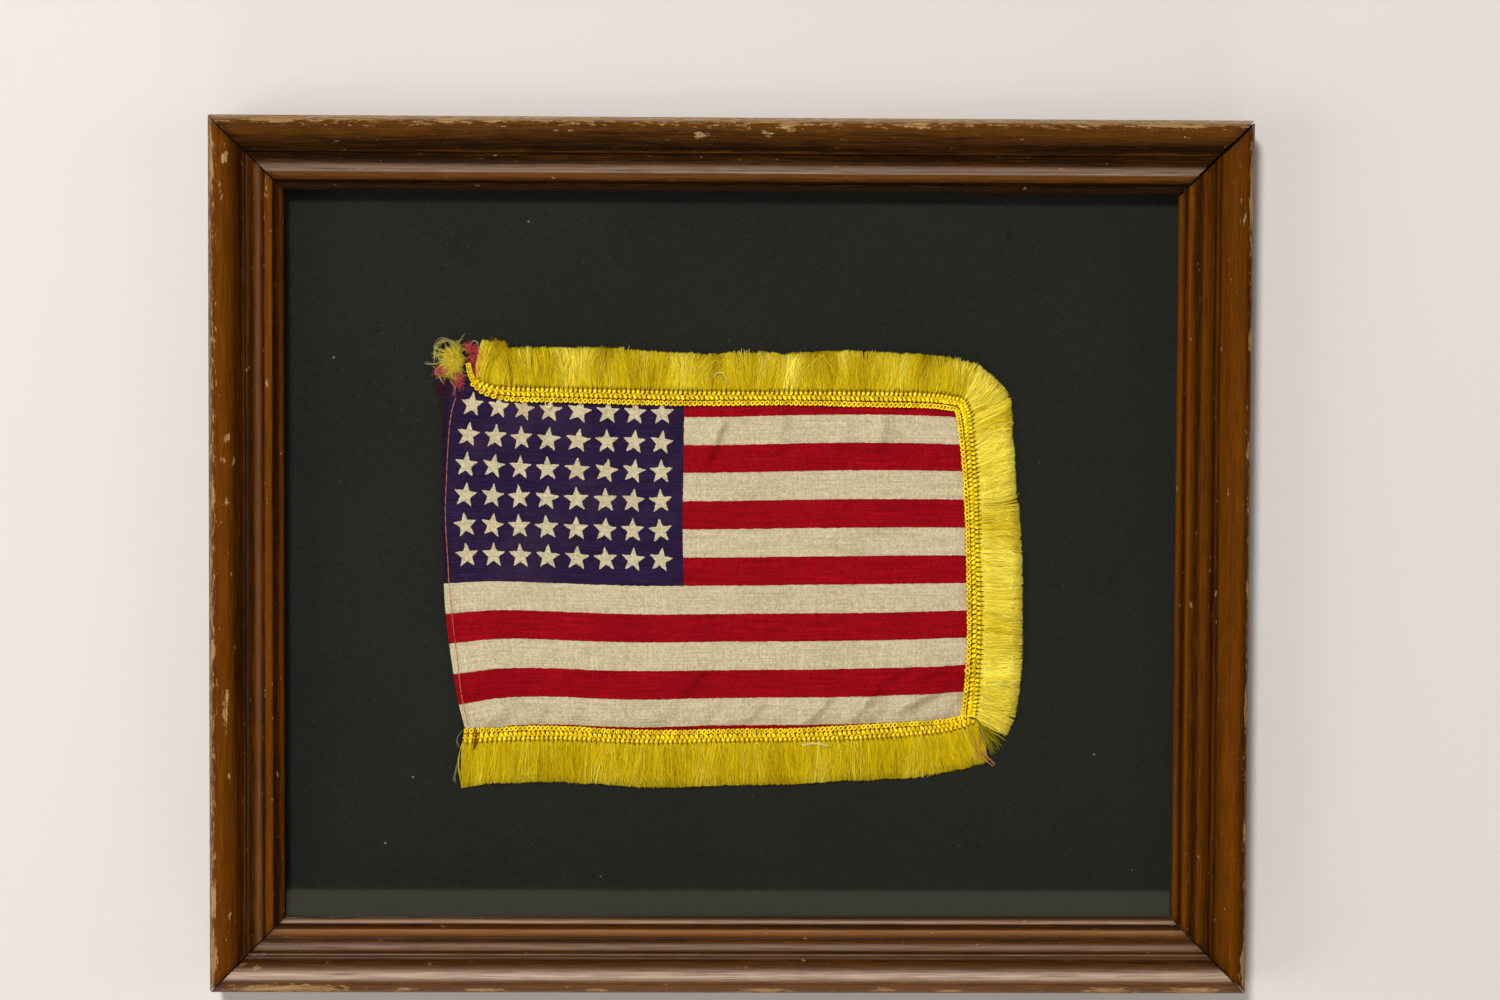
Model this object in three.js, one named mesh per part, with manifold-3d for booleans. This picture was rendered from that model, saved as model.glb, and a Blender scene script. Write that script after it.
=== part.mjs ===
// A small fringed cotton flag, laid flat on a dark board behind glass in a worn wooden picture frame.
// Millimetres. X runs along the stripes to the fly, Y runs up the picture, Z runs out through the glass.
// The origin is in the middle of the frame's back, which lies on the surface.

import * as THREE from 'three';
import { mergeVertices } from 'three/addons/utils/BufferGeometryUtils.js';
import Module from 'manifold-3d';

const wasm = await Module();
wasm.setup();

// Frame
const FRAME_WIDTH = 285;
const FRAME_HEIGHT = 240;
const RABBET_INSET = 14;
const LIP_UNDERSIDE = 11;
const MITRE_CUT = 0.22;
const OPEN_MITRE_CUT = 0.75;
const GAP = 0.3;

// Layers behind the lip, from the back
const BOARD_BACK = 1.5;
const BOARD_FACE = 4.3;
const GLASS_THICKNESS = 2;
const CLOTH_THICKNESS = 1;
const CLOTH_MIDDLE = BOARD_FACE + GAP + CLOTH_THICKNESS / 2;

// Fringe
const HEADER_BASE = BOARD_FACE + CLOTH_THICKNESS + 2 * GAP;
const HEADER_TOP = HEADER_BASE + 1.2;
const STRAND_WIDTH = 1;
const STRAND_HEIGHT = 0.8;
const STRAND_ROOT_IN = 0.8;
const TOP_STRANDS = 100;
const FLY_STRANDS = 80;
const FOOT_STRANDS = 100;

const darkWood = new THREE.MeshStandardMaterial({ color: 0x4a2b10, roughness: 0.45, metalness: 0 });
const clearGlass = new THREE.MeshStandardMaterial({ color: 0xe8f0ee, roughness: 0.05, metalness: 0 });
const blackBoard = new THREE.MeshStandardMaterial({ color: 0x262622, roughness: 0.9, metalness: 0 });
const printedCotton = new THREE.MeshStandardMaterial({ color: 0xa30a18, roughness: 0.9, metalness: 0 });
const goldRayon = new THREE.MeshStandardMaterial({ color: 0xd8b018, roughness: 0.6, metalness: 0 });

const group = new THREE.Group();

function addPiece(name, geometry, material) {
  geometry.computeVertexNormals();
  const mesh = new THREE.Mesh(geometry, material);
  mesh.name = name;
  group.add(mesh);
  return mesh;
}

function smooth(t) {
  const c = Math.min(1, Math.max(0, t));
  return c * c * (3 - 2 * c);
}

function indexedGeometry(points, triangles) {
  const geometry = new THREE.BufferGeometry();
  geometry.setAttribute('position', new THREE.Float32BufferAttribute(points.flat(), 3));
  geometry.setIndex(triangles.flat());
  return geometry;
}

// A solid through a row of closed rings of points, with its two ends capped.
// Each ring runs anticlockwise when it is looked at against the direction of the row.
function loft(rings) {
  const count = rings[0].length;
  const triangles = [];
  for (let r = 0; r + 1 < rings.length; r += 1) {
    for (let i = 0; i < count; i += 1) {
      const j = (i + 1) % count;
      const a = r * count + i;
      const b = r * count + j;
      triangles.push([a, b, b + count], [a, b + count, a + count]);
    }
  }
  const last = (rings.length - 1) * count;
  for (const [a, b, c] of capTriangles(rings[0])) {
    triangles.push([a, c, b]);
  }
  for (const [a, b, c] of capTriangles(rings[rings.length - 1])) {
    triangles.push([last + a, last + b, last + c]);
  }
  return indexedGeometry(rings.flat(), triangles);
}

// A ring's own triangles, found in the flat of its width and height.
function capTriangles(ring) {
  const start = new THREE.Vector3(...ring[0]);
  const along = new THREE.Vector3(...ring[1]).sub(start);
  along.z = 0;
  along.normalize();
  const flat = ring.map((p) => {
    const offset = new THREE.Vector3(...p).sub(start);
    return new THREE.Vector2(offset.x * along.x + offset.y * along.y, offset.z);
  });
  return THREE.ShapeUtils.triangulateShape(flat, []);
}

function solidOf(geometry) {
  const bare = geometry.clone();
  bare.deleteAttribute('normal');
  bare.deleteAttribute('uv');
  const merged = mergeVertices(bare, 1e-4);
  const mesh = new wasm.Mesh({
    numProp: 3,
    vertProperties: new Float32Array(merged.attributes.position.array),
    triVerts: new Uint32Array(merged.index.array),
  });
  return new wasm.Manifold(mesh);
}

function geometryOf(solid) {
  const mesh = solid.getMesh();
  const geometry = new THREE.BufferGeometry();
  geometry.setAttribute('position', new THREE.Float32BufferAttribute(mesh.vertProperties, 3));
  geometry.setIndex(Array.from(mesh.triVerts));
  return geometry;
}

// Frame rails. The moulding's section: distance in from the outer edge, then height.
// From the outside in it has a broad hump, a groove with a fillet, a low bead, a flat strip and a lip.
const MOULDING = [
  [0, 0], [RABBET_INSET, 0], [RABBET_INSET, LIP_UNDERSIDE], [20, LIP_UNDERSIDE], [20, 12],
  [19.7, 12.6], [19.2, 12.8], [18.6, 12.6], [18.2, 12.3], [17.7, 12.9], [17.3, 14.3],
  [17, 14.5], [14.9, 14.2], [14.5, 14.5], [13.8, 15.2], [12.8, 15.5], [11.6, 15.2], [10.8, 14.6],
  [10.2, 14.1], [9.9, 14.9], [9.1, 15.2], [8.8, 15.9], [8, 17.2], [6.8, 18.6], [5.4, 19.6],
  [4, 20], [2.6, 19.6], [1.3, 18.5], [0.4, 16.8], [0, 14.8],
];

// One rail, its outer edge on the X axis and its moulding running in along -Y, with both ends mitred.
function mitredRail(length, rightCut, leftCut) {
  const section = new THREE.Shape(MOULDING.map(([inward, height]) => new THREE.Vector2(inward, height)));
  const geometry = new THREE.ExtrudeGeometry(section, { depth: length, steps: 1, bevelEnabled: false });
  const position = geometry.attributes.position;
  for (let i = 0; i < position.count; i += 1) {
    const inward = position.getX(i);
    const height = position.getY(i);
    const atRight = position.getZ(i) < length / 2;
    const along = atRight ? length / 2 - inward - rightCut : inward + leftCut - length / 2;
    position.setXYZ(i, along, -inward, height);
  }
  return geometry;
}

const railTop = addPiece('rail_top', mitredRail(FRAME_WIDTH, MITRE_CUT, MITRE_CUT), darkWood);
railTop.position.y = FRAME_HEIGHT / 2;

const railBottom = addPiece('rail_bottom', mitredRail(FRAME_WIDTH, MITRE_CUT, MITRE_CUT), darkWood);
railBottom.position.y = -FRAME_HEIGHT / 2;
railBottom.rotation.z = Math.PI;

const railLeft = addPiece('rail_left', mitredRail(FRAME_HEIGHT, MITRE_CUT, MITRE_CUT), darkWood);
railLeft.position.x = -FRAME_WIDTH / 2;
railLeft.rotation.z = Math.PI / 2;

// The mitre at the upper right has opened, so this rail's upper end stands away from its neighbour.
const railRight = addPiece('rail_right', mitredRail(FRAME_HEIGHT, MITRE_CUT, OPEN_MITRE_CUT), darkWood);
railRight.position.x = FRAME_WIDTH / 2;
railRight.rotation.z = -Math.PI / 2;

// The pane sits under the lip and the board lies behind the flag, both inside the rabbet.
const PANE_WIDTH = FRAME_WIDTH - 2 * RABBET_INSET - 2 * GAP;
const PANE_HEIGHT = FRAME_HEIGHT - 2 * RABBET_INSET - 2 * GAP;

const glassPane = addPiece(
  'glass_pane',
  new THREE.BoxGeometry(PANE_WIDTH, PANE_HEIGHT, GLASS_THICKNESS),
  clearGlass,
);
glassPane.position.z = LIP_UNDERSIDE - GAP - GLASS_THICKNESS / 2;

const backingBoard = addPiece(
  'backing_board',
  new THREE.BoxGeometry(PANE_WIDTH, PANE_HEIGHT, BOARD_FACE - BOARD_BACK),
  blackBoard,
);
backingBoard.position.z = (BOARD_BACK + BOARD_FACE) / 2;

// Flag cloth. Its four edges as it lies, uneven and drawn in towards the lower hoist corner.
function curveThrough(points) {
  return new THREE.CatmullRomCurve3(points.map(([x, y]) => new THREE.Vector3(x, y, 0)));
}

const topEdge = curveThrough([
  [-78.7, 49.3], [-64.7, 47.7], [-51.4, 46.7], [-36.3, 46.3], [-22.5, 46], [-8.6, 45.8],
  [5.2, 46.1], [19, 46.6], [35.6, 46.8], [50.8, 46.6], [65.5, 45.8],
]);
const footEdge = curveThrough([
  [-71.7, -54.3], [-59.5, -51.7], [-46.5, -51.3], [-33.2, -51.8], [-20, -51.9], [-6.6, -51.4],
  [7.5, -51.2], [22, -51.1], [37, -50.7], [52.5, -49.9], [68.2, -48.6],
]);
const hoistEdge = curveThrough([
  [-78.7, 49.3], [-79.5, 36.5], [-79.9, 23.6], [-80.1, 10.8], [-79.5, -2.1],
  [-78.8, -15.1], [-77.3, -28.2], [-75.1, -41.5], [-71.7, -54.3],
]);
const flyEdge = curveThrough([
  [65.5, 45.8], [67, 33.9], [68, 22.3], [68.7, 10.1], [69.2, -1.8],
  [69.6, -13.8], [69.4, -25.5], [68.9, -37.2], [68.2, -48.6],
]);

// A point of the cloth between its four edges: u runs from hoist to fly, v from top to foot.
function clothPoint(u, v) {
  const top = topEdge.getPoint(u);
  const foot = footEdge.getPoint(u);
  const hoist = hoistEdge.getPoint(v);
  const fly = flyEdge.getPoint(v);
  const across = top.multiplyScalar(1 - v).add(foot.multiplyScalar(v));
  const down = hoist.multiplyScalar(1 - u).add(fly.multiplyScalar(u));
  const corners = new THREE.Vector3()
    .addScaledVector(topEdge.getPoint(0), (1 - u) * (1 - v))
    .addScaledVector(topEdge.getPoint(1), u * (1 - v))
    .addScaledVector(footEdge.getPoint(0), (1 - u) * v)
    .addScaledVector(footEdge.getPoint(1), u * v);
  return across.add(down).sub(corners);
}

// Main creases and puckers: from, to, half width and height.
const CREASES = [
  { from: [-2, 38], to: [-7, 26], width: 2.4, height: 0.7 },
  { from: [14, 40], to: [13, 30], width: 3, height: 0.5 },
  { from: [31, 40], to: [30, 31], width: 3, height: 0.5 },
  { from: [42, 39], to: [41, 30], width: 2.6, height: 0.4 },
  { from: [-36, 39], to: [-31, 28], width: 3, height: 0.5 },
  { from: [-56, 38], to: [-52, 27], width: 3, height: 0.5 },
  { from: [-69, 32], to: [-62, 20], width: 3, height: 0.5 },
  { from: [21, -46], to: [27, -39], width: 2.4, height: 0.6 },
  { from: [4, -46], to: [9, -41], width: 2.4, height: 0.5 },
  { from: [36, -44], to: [41, -36], width: 2.4, height: 0.5 },
  { from: [49, -41], to: [60, -36], width: 2.4, height: 0.7 },
  { from: [-14, -38], to: [-7, -31], width: 2.6, height: 0.5 },
];

function creaseHeight(x, y) {
  let height = 0;
  for (const { from, to, width, height: rise } of CREASES) {
    const line = new THREE.Line3(new THREE.Vector3(...from, 0), new THREE.Vector3(...to, 0));
    const point = new THREE.Vector3(x, y, 0);
    const nearest = line.closestPointToPoint(point, true, new THREE.Vector3());
    const away = nearest.distanceTo(point) / width;
    height = Math.max(height, rise * Math.exp(-away * away));
  }
  return height;
}

const CLOTH_COLUMNS = 34;
const CLOTH_ROWS = 24;
const HEM_RISE = 0.25;
const EDGE_TRIM = 0.011;
const CORNER_TRIM = 0.022;
const CORNER_REACH = 0.08;

function clothGeometry() {
  const upper = [];
  const lower = [];
  for (let row = 0; row <= CLOTH_ROWS; row += 1) {
    for (let column = 0; column <= CLOTH_COLUMNS; column += 1) {
      const a = column / CLOTH_COLUMNS;
      const b = row / CLOTH_ROWS;
      const nearHoist = smooth((CORNER_REACH - a) / CORNER_REACH);
      const nearFly = smooth((a - 1 + CORNER_REACH) / CORNER_REACH);
      const nearTop = smooth((CORNER_REACH - b) / CORNER_REACH);
      const nearFoot = smooth((b - 1 + CORNER_REACH) / CORNER_REACH);
      const first = EDGE_TRIM + CORNER_TRIM * nearFly;
      const last = 1 - EDGE_TRIM - CORNER_TRIM * (nearFly + nearHoist);
      const v = first + (last - first) * b;
      const u = a * (0.993 - 0.01 * (nearTop + nearFoot));
      const { x, y } = clothPoint(u, v);
      const underHeader = smooth((v - 0.06) / 0.05) * smooth((0.94 - v) / 0.05) * smooth((0.96 - u) / 0.04);
      const hem = column < 1 ? HEM_RISE * smooth((v - 0.02) / 0.05) * smooth((0.93 - v) / 0.05) : 0;
      const middle = CLOTH_MIDDLE + creaseHeight(x, y) * underHeader;
      upper.push([x, y, middle + CLOTH_THICKNESS / 2 + hem]);
      lower.push([x, y, middle - CLOTH_THICKNESS / 2]);
    }
  }
  const stride = CLOTH_COLUMNS + 1;
  const offset = upper.length;
  const triangles = [];
  for (let row = 0; row < CLOTH_ROWS; row += 1) {
    for (let column = 0; column < CLOTH_COLUMNS; column += 1) {
      const a = row * stride + column;
      const b = a + 1;
      const c = a + stride;
      const d = c + 1;
      triangles.push([a, c, d], [a, d, b]);
      triangles.push([offset + a, offset + d, offset + c], [offset + a, offset + b, offset + d]);
    }
  }
  const rim = [];
  for (let column = 0; column < CLOTH_COLUMNS; column += 1) {
    rim.push(CLOTH_ROWS * stride + column);
  }
  for (let row = CLOTH_ROWS; row > 0; row -= 1) {
    rim.push(row * stride + CLOTH_COLUMNS);
  }
  for (let column = CLOTH_COLUMNS; column > 0; column -= 1) {
    rim.push(column);
  }
  for (let row = 0; row < CLOTH_ROWS; row += 1) {
    rim.push(row * stride);
  }
  rim.forEach((a, i) => {
    const b = rim[(i + 1) % rim.length];
    triangles.push([a, offset + a, offset + b], [a, offset + b, b]);
  });
  return indexedGeometry([...upper, ...lower], triangles);
}

addPiece('flag_cloth', clothGeometry(), printedCotton);

// Fringe. Stations along each side: the header's inner edge, its outer edge and the strands' tips.
const TOP_STATIONS = [
  { inner: [-72.6, 46.6], outer: [-70.4, 48], tip: [-69.1, 59] },
  { inner: [-67.9, 43.6], outer: [-66, 46.6], tip: [-65.3, 59] },
  { inner: [-61, 42.2], outer: [-60.5, 46.4], tip: [-60.6, 56.8] },
  { inner: [-47.2, 42], outer: [-47.2, 46.1], tip: [-46.8, 57.4] },
  { inner: [-30.7, 41.5], outer: [-30.7, 45.9], tip: [-30.2, 57] },
  { inner: [-14.1, 41.2], outer: [-14.2, 45.6], tip: [-13.1, 56] },
  { inner: [2.4, 41.4], outer: [2.4, 45.5], tip: [3.5, 55.9] },
  { inner: [19, 41.5], outer: [19, 45.6], tip: [20.1, 56.3] },
  { inner: [35.6, 41.1], outer: [35.5, 45.6], tip: [36.7, 56.5] },
  { inner: [49.4, 40.9], outer: [49.9, 45.5], tip: [51.6, 56.1] },
  { inner: [56.3, 40.7], outer: [57.7, 45], tip: [59.9, 54.7] },
  { inner: [61.6, 40.3], outer: [64, 44.2], tip: [67.7, 53] },
];
const FLY_STATIONS = [
  { inner: [62.1, 39.7], outer: [64.9, 43.6], tip: [70.2, 52.2] },
  { inner: [62.4, 36.4], outer: [66.3, 39.8], tip: [75.5, 46.7] },
  { inner: [63, 31.7], outer: [67, 34.2], tip: [77.5, 37.9] },
  { inner: [63.8, 24], outer: [67.8, 26.2], tip: [78.4, 28.2] },
  { inner: [64.4, 15.7], outer: [68.4, 17.1], tip: [79.1, 17.6] },
  { inner: [64.7, 10.1], outer: [68.6, 11.3], tip: [80.1, 10.4] },
  { inner: [65.1, -1], outer: [69, -0.9], tip: [80.9, -1.5] },
  { inner: [65.3, -12.1], outer: [69.5, -12], tip: [81.1, -12.4] },
  { inner: [65.4, -23.2], outer: [69.6, -23.2], tip: [81.2, -23.5] },
  { inner: [64.9, -34.3], outer: [69.2, -34.3], tip: [80.8, -34.7] },
  { inner: [64.1, -42.1], outer: [68.6, -41.5], tip: [79.3, -43.9] },
  { inner: [63.9, -44], outer: [68.3, -44.9], tip: [77.4, -49.2] },
];
const FOOT_STATIONS = [
  { inner: [63.3, -44.9], outer: [67.2, -46.7], tip: [73, -55.9] },
  { inner: [58.3, -45.2], outer: [61.1, -48.5], tip: [64.7, -59] },
  { inner: [47.2, -45.9], outer: [48.6, -50], tip: [49.6, -61.6] },
  { inner: [33.3, -46.8], outer: [33.9, -51], tip: [34.3, -62.4] },
  { inner: [16.7, -47.8], outer: [16.7, -51.4], tip: [16.8, -63.6] },
  { inner: [0, -48], outer: [0.1, -51.6], tip: [-0.1, -63.9] },
  { inner: [-16.6, -48.4], outer: [-16.6, -52.1], tip: [-16.8, -64.4] },
  { inner: [-30.4, -48.2], outer: [-30.4, -52], tip: [-30.7, -64] },
  { inner: [-44.3, -47.4], outer: [-44.3, -51.3], tip: [-44.6, -63.1] },
  { inner: [-56.7, -47.2], outer: [-57.3, -51.4], tip: [-58.2, -63.2] },
  { inner: [-65, -47.8], outer: [-65.9, -51.7], tip: [-67.1, -63.8] },
  { inner: [-73.6, -47.9], outer: [-74, -52.3], tip: [-74.6, -64.8] },
];

// The header's section across its width: two rows of loops with a groove between them.
const HEADER_SECTION = [
  [0, HEADER_BASE], [1, HEADER_BASE], [1, HEADER_TOP - 0.2], [0.74, HEADER_TOP],
  [0.5, HEADER_TOP - 0.3], [0.26, HEADER_TOP], [0, HEADER_TOP - 0.5],
];

function headerGeometry(innerCurve, outerCurve, steps) {
  const rings = [];
  for (let i = 0; i <= steps; i += 1) {
    const inner = innerCurve.getPoint(i / steps);
    const outer = outerCurve.getPoint(i / steps);
    rings.push(HEADER_SECTION.map(([across, z]) => {
      const point = inner.clone().lerp(outer, across);
      return [point.x, point.y, z];
    }));
  }
  return loft(rings);
}

// One three-sided strand, flat below and ridged above, through the points of its path.
function strandGeometry(path, width, height) {
  const rings = path.map((point, i) => {
    const before = path[Math.max(0, i - 1)];
    const after = path[Math.min(path.length - 1, i + 1)];
    const forward = after.clone().sub(before).setZ(0).normalize();
    const side = new THREE.Vector3(-forward.y, forward.x, 0).multiplyScalar(width / 2);
    const left = point.clone().add(side);
    const right = point.clone().sub(side);
    return [
      [left.x, left.y, point.z - height / 2],
      [right.x, right.y, point.z - height / 2],
      [point.x, point.y, point.z + height / 2],
    ];
  });
  return loft(rings.reverse());
}

const STRAND_LOW = BOARD_FACE + GAP + STRAND_HEIGHT / 2 + 0.1;
const STRAND_ROOT = HEADER_BASE + 0.52;

// A side of the fringe: its header with the strands' roots fused into it.
function fringeGeometry(stations, count, phase) {
  const inner = curveThrough(stations.map((station) => station.inner));
  const outer = curveThrough(stations.map((station) => station.outer));
  const tips = curveThrough(stations.map((station) => station.tip));
  let fringe = solidOf(headerGeometry(inner, outer, 2 * (stations.length - 1)));
  const reach = [0];
  const fine = 400;
  for (let i = 1; i <= fine; i += 1) {
    const root = outer.getPoint(i / fine).distanceTo(outer.getPoint((i - 1) / fine));
    const tip = tips.getPoint(i / fine).distanceTo(tips.getPoint((i - 1) / fine));
    reach.push(reach[i - 1] + (root + tip) / 2);
  }
  for (let strand = 0; strand < count; strand += 1) {
    const wanted = reach[fine] * (strand + 0.5) / count;
    const place = reach.findIndex((length) => length >= wanted) / fine;
    const edge = outer.getPoint(place);
    const tip = tips.getPoint(place);
    const forward = tip.clone().sub(edge).normalize();
    const side = new THREE.Vector3(-forward.y, forward.x, 0);
    const sway = 0.3 * Math.sin(0.41 * strand + phase);
    const shorter = 0.35 * (1 + Math.sin(2.3 * strand + phase));
    const root = edge.clone().addScaledVector(forward, -STRAND_ROOT_IN).setZ(STRAND_ROOT);
    const shoulder = edge.clone().addScaledVector(forward, 0.6).setZ(STRAND_ROOT - 0.05);
    const middle = edge.clone().lerp(tip, 0.5).addScaledVector(side, sway).setZ(STRAND_LOW + 0.2);
    const end = tip.clone().addScaledVector(forward, -shorter).setZ(STRAND_LOW);
    fringe = fringe.add(solidOf(strandGeometry([root, shoulder, middle, end], STRAND_WIDTH, STRAND_HEIGHT)));
  }
  return geometryOf(fringe);
}

addPiece('fringe_top', fringeGeometry(TOP_STATIONS, TOP_STRANDS, 0.4), goldRayon);
addPiece('fringe_fly', fringeGeometry(FLY_STATIONS, FLY_STRANDS, 1.9), goldRayon);
addPiece('fringe_foot', fringeGeometry(FOOT_STATIONS, FOOT_STRANDS, 3.1), goldRayon);

// Frayed corner: the fringe's loose end bunched into a small ball of thread, with stray ends round it.
const BALL_CENTRE = new THREE.Vector3(-77.6, 53.8, 6.1);
const BALL_RADIUS = 3.8;
const BALL_HALF_HEIGHT = 1.5;
const STRAY_WIDTH = 0.6;
const STRAY_HEIGHT = 0.6;
const STRAY_ENDS = [
  { bend: [-82, 54.6], end: [-84.5, 52.9] },
  { bend: [-81.4, 56.6], end: [-83.4, 57.6] },
  { bend: [-79, 58], end: [-80.6, 59.2] },
  { bend: [-76.9, 58], end: [-76.2, 59.4] },
  { bend: [-74.4, 57], end: [-72.4, 57.9] },
  { bend: [-73.4, 55.2], end: [-71.8, 55.4] },
  { bend: [-73.4, 52.6], end: [-72, 51.4] },
  { bend: [-81.6, 51.9], end: [-82.8, 50.2] },
];

function frayedCornerGeometry() {
  const ball = new THREE.IcosahedronGeometry(1, 3);
  const position = ball.attributes.position;
  for (let i = 0; i < position.count; i += 1) {
    const point = new THREE.Vector3().fromBufferAttribute(position, i);
    const lump = 1 + 0.08 * Math.sin(5 * point.x + 2) * Math.sin(4 * point.y + 6 * point.z);
    position.setXYZ(
      i,
      BALL_CENTRE.x + BALL_RADIUS * lump * point.x,
      BALL_CENTRE.y + BALL_RADIUS * lump * point.y,
      BALL_CENTRE.z + BALL_HALF_HEIGHT * point.z,
    );
  }
  let tuft = solidOf(ball);
  for (const { bend, end } of STRAY_ENDS) {
    const path = [
      BALL_CENTRE.clone().lerp(new THREE.Vector3(...bend, BALL_CENTRE.z), 0.45).setZ(5.6),
      new THREE.Vector3(...bend, 5.4),
      new THREE.Vector3(...end, 5.05),
    ];
    tuft = tuft.add(solidOf(strandGeometry(path, STRAY_WIDTH, STRAY_HEIGHT)));
  }
  return geometryOf(tuft);
}

addPiece('frayed_corner', frayedCornerGeometry(), goldRayon);

export default group;
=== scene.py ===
import bpy
import numpy as np
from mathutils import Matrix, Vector


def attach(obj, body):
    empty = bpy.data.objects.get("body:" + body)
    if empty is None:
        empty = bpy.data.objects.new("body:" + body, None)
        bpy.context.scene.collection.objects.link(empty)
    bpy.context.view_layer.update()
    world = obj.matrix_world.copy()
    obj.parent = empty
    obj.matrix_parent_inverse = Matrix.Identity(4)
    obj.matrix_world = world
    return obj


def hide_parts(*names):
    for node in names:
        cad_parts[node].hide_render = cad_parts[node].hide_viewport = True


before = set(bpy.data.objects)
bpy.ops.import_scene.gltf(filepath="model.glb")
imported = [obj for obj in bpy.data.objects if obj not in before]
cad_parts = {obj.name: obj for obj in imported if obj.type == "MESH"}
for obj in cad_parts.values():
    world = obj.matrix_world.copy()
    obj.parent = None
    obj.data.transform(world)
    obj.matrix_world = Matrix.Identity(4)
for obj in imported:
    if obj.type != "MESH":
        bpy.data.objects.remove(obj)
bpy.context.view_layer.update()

# Frame rails
# Four lengths of one dark-stained hardwood moulding, mitred and glued at the corners.
# The varnish is rubbed through along the outer edge, and the upper right mitre has opened.
MM = 0.001
FRAME_WIDTH = 285
FRAME_HEIGHT = 240
RAIL_CUTS = 239
MITRE_CUT = 0.22
OPEN_MITRE_CUT = 0.75
FACE_LOW = 10
BACK_TONE = 0.4
CHIP_LOW = 9
CHIP_DEPTH = 0.25
WORN_EDGE = 0.8
WEAR_FALL = 0.2
MITRE_SHADE = 0.8
MITRE_SHADE_REACH = 0.6
SHARP_ANGLE = 0.7
MOULDING = [
    (0, 0), (14, 0), (14, 11), (20, 11), (20, 11.9), (19.9, 12.3), (19.6, 12.65), (19.2, 12.8),
    (18.8, 12.7), (18.4, 12.4), (18.1, 12.25), (17.8, 12.5), (17.6, 13.2), (17.45, 14), (17.25, 14.4),
    (16.9, 14.5), (16.2, 14.42), (15.4, 14.28), (14.9, 14.2), (14.6, 14.35), (14.2, 14.85),
    (13.6, 15.28), (12.8, 15.5), (12, 15.38), (11.3, 15), (10.7, 14.5), (10.3, 14.15), (10.1, 14.2),
    (9.95, 14.75), (9.7, 15.1), (9.2, 15.2), (8.95, 15.45), (8.6, 16.2), (8, 17.2), (7.4, 17.98),
    (6.8, 18.6), (6.1, 19.18), (5.4, 19.6), (4.7, 19.88), (4, 20), (3.3, 19.88), (2.6, 19.6),
    (1.95, 19.15), (1.3, 18.5), (0.75, 17.7), (0.35, 16.75), (0.1, 15.8), (0, 14.8), (0, 8),
]


def select_only(piece):
    bpy.ops.object.select_all(action="DESELECT")
    piece.select_set(True)
    bpy.context.view_layer.objects.active = piece


def set_attribute(piece, name, kind, values):
    layer = piece.data.attributes.new(name, kind, "POINT")
    field = "color" if kind == "FLOAT_COLOR" else "value"
    layer.data.foreach_set(field, np.ascontiguousarray(values, dtype=np.float32).ravel())


def chipped(along, inward, chips):
    """How deep inside a chip each point is: below 0 outside, 1 at its middle."""
    depth = np.full_like(along, -1)
    for middle, across, half_length, half_width in chips:
        away = np.hypot((along - middle) / half_length, (inward - across) / half_width)
        depth = np.maximum(depth, 1 - away)
    return depth


def profile_corners(inward, height):
    """How sharp the moulding's section turns at each point: grooves below 0, arrises above."""
    section = np.array(MOULDING, dtype=float)
    before = section - np.roll(section, 1, axis=0)
    after = np.roll(section, -1, axis=0) - section
    cross = before[:, 0] * after[:, 1] - before[:, 1] * after[:, 0]
    turns = np.arctan2(cross, (before * after).sum(axis=1))
    away = np.hypot(inward[:, None] - section[:, 0], height[:, None] - section[:, 1])
    return turns[away.argmin(axis=1)]


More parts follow.
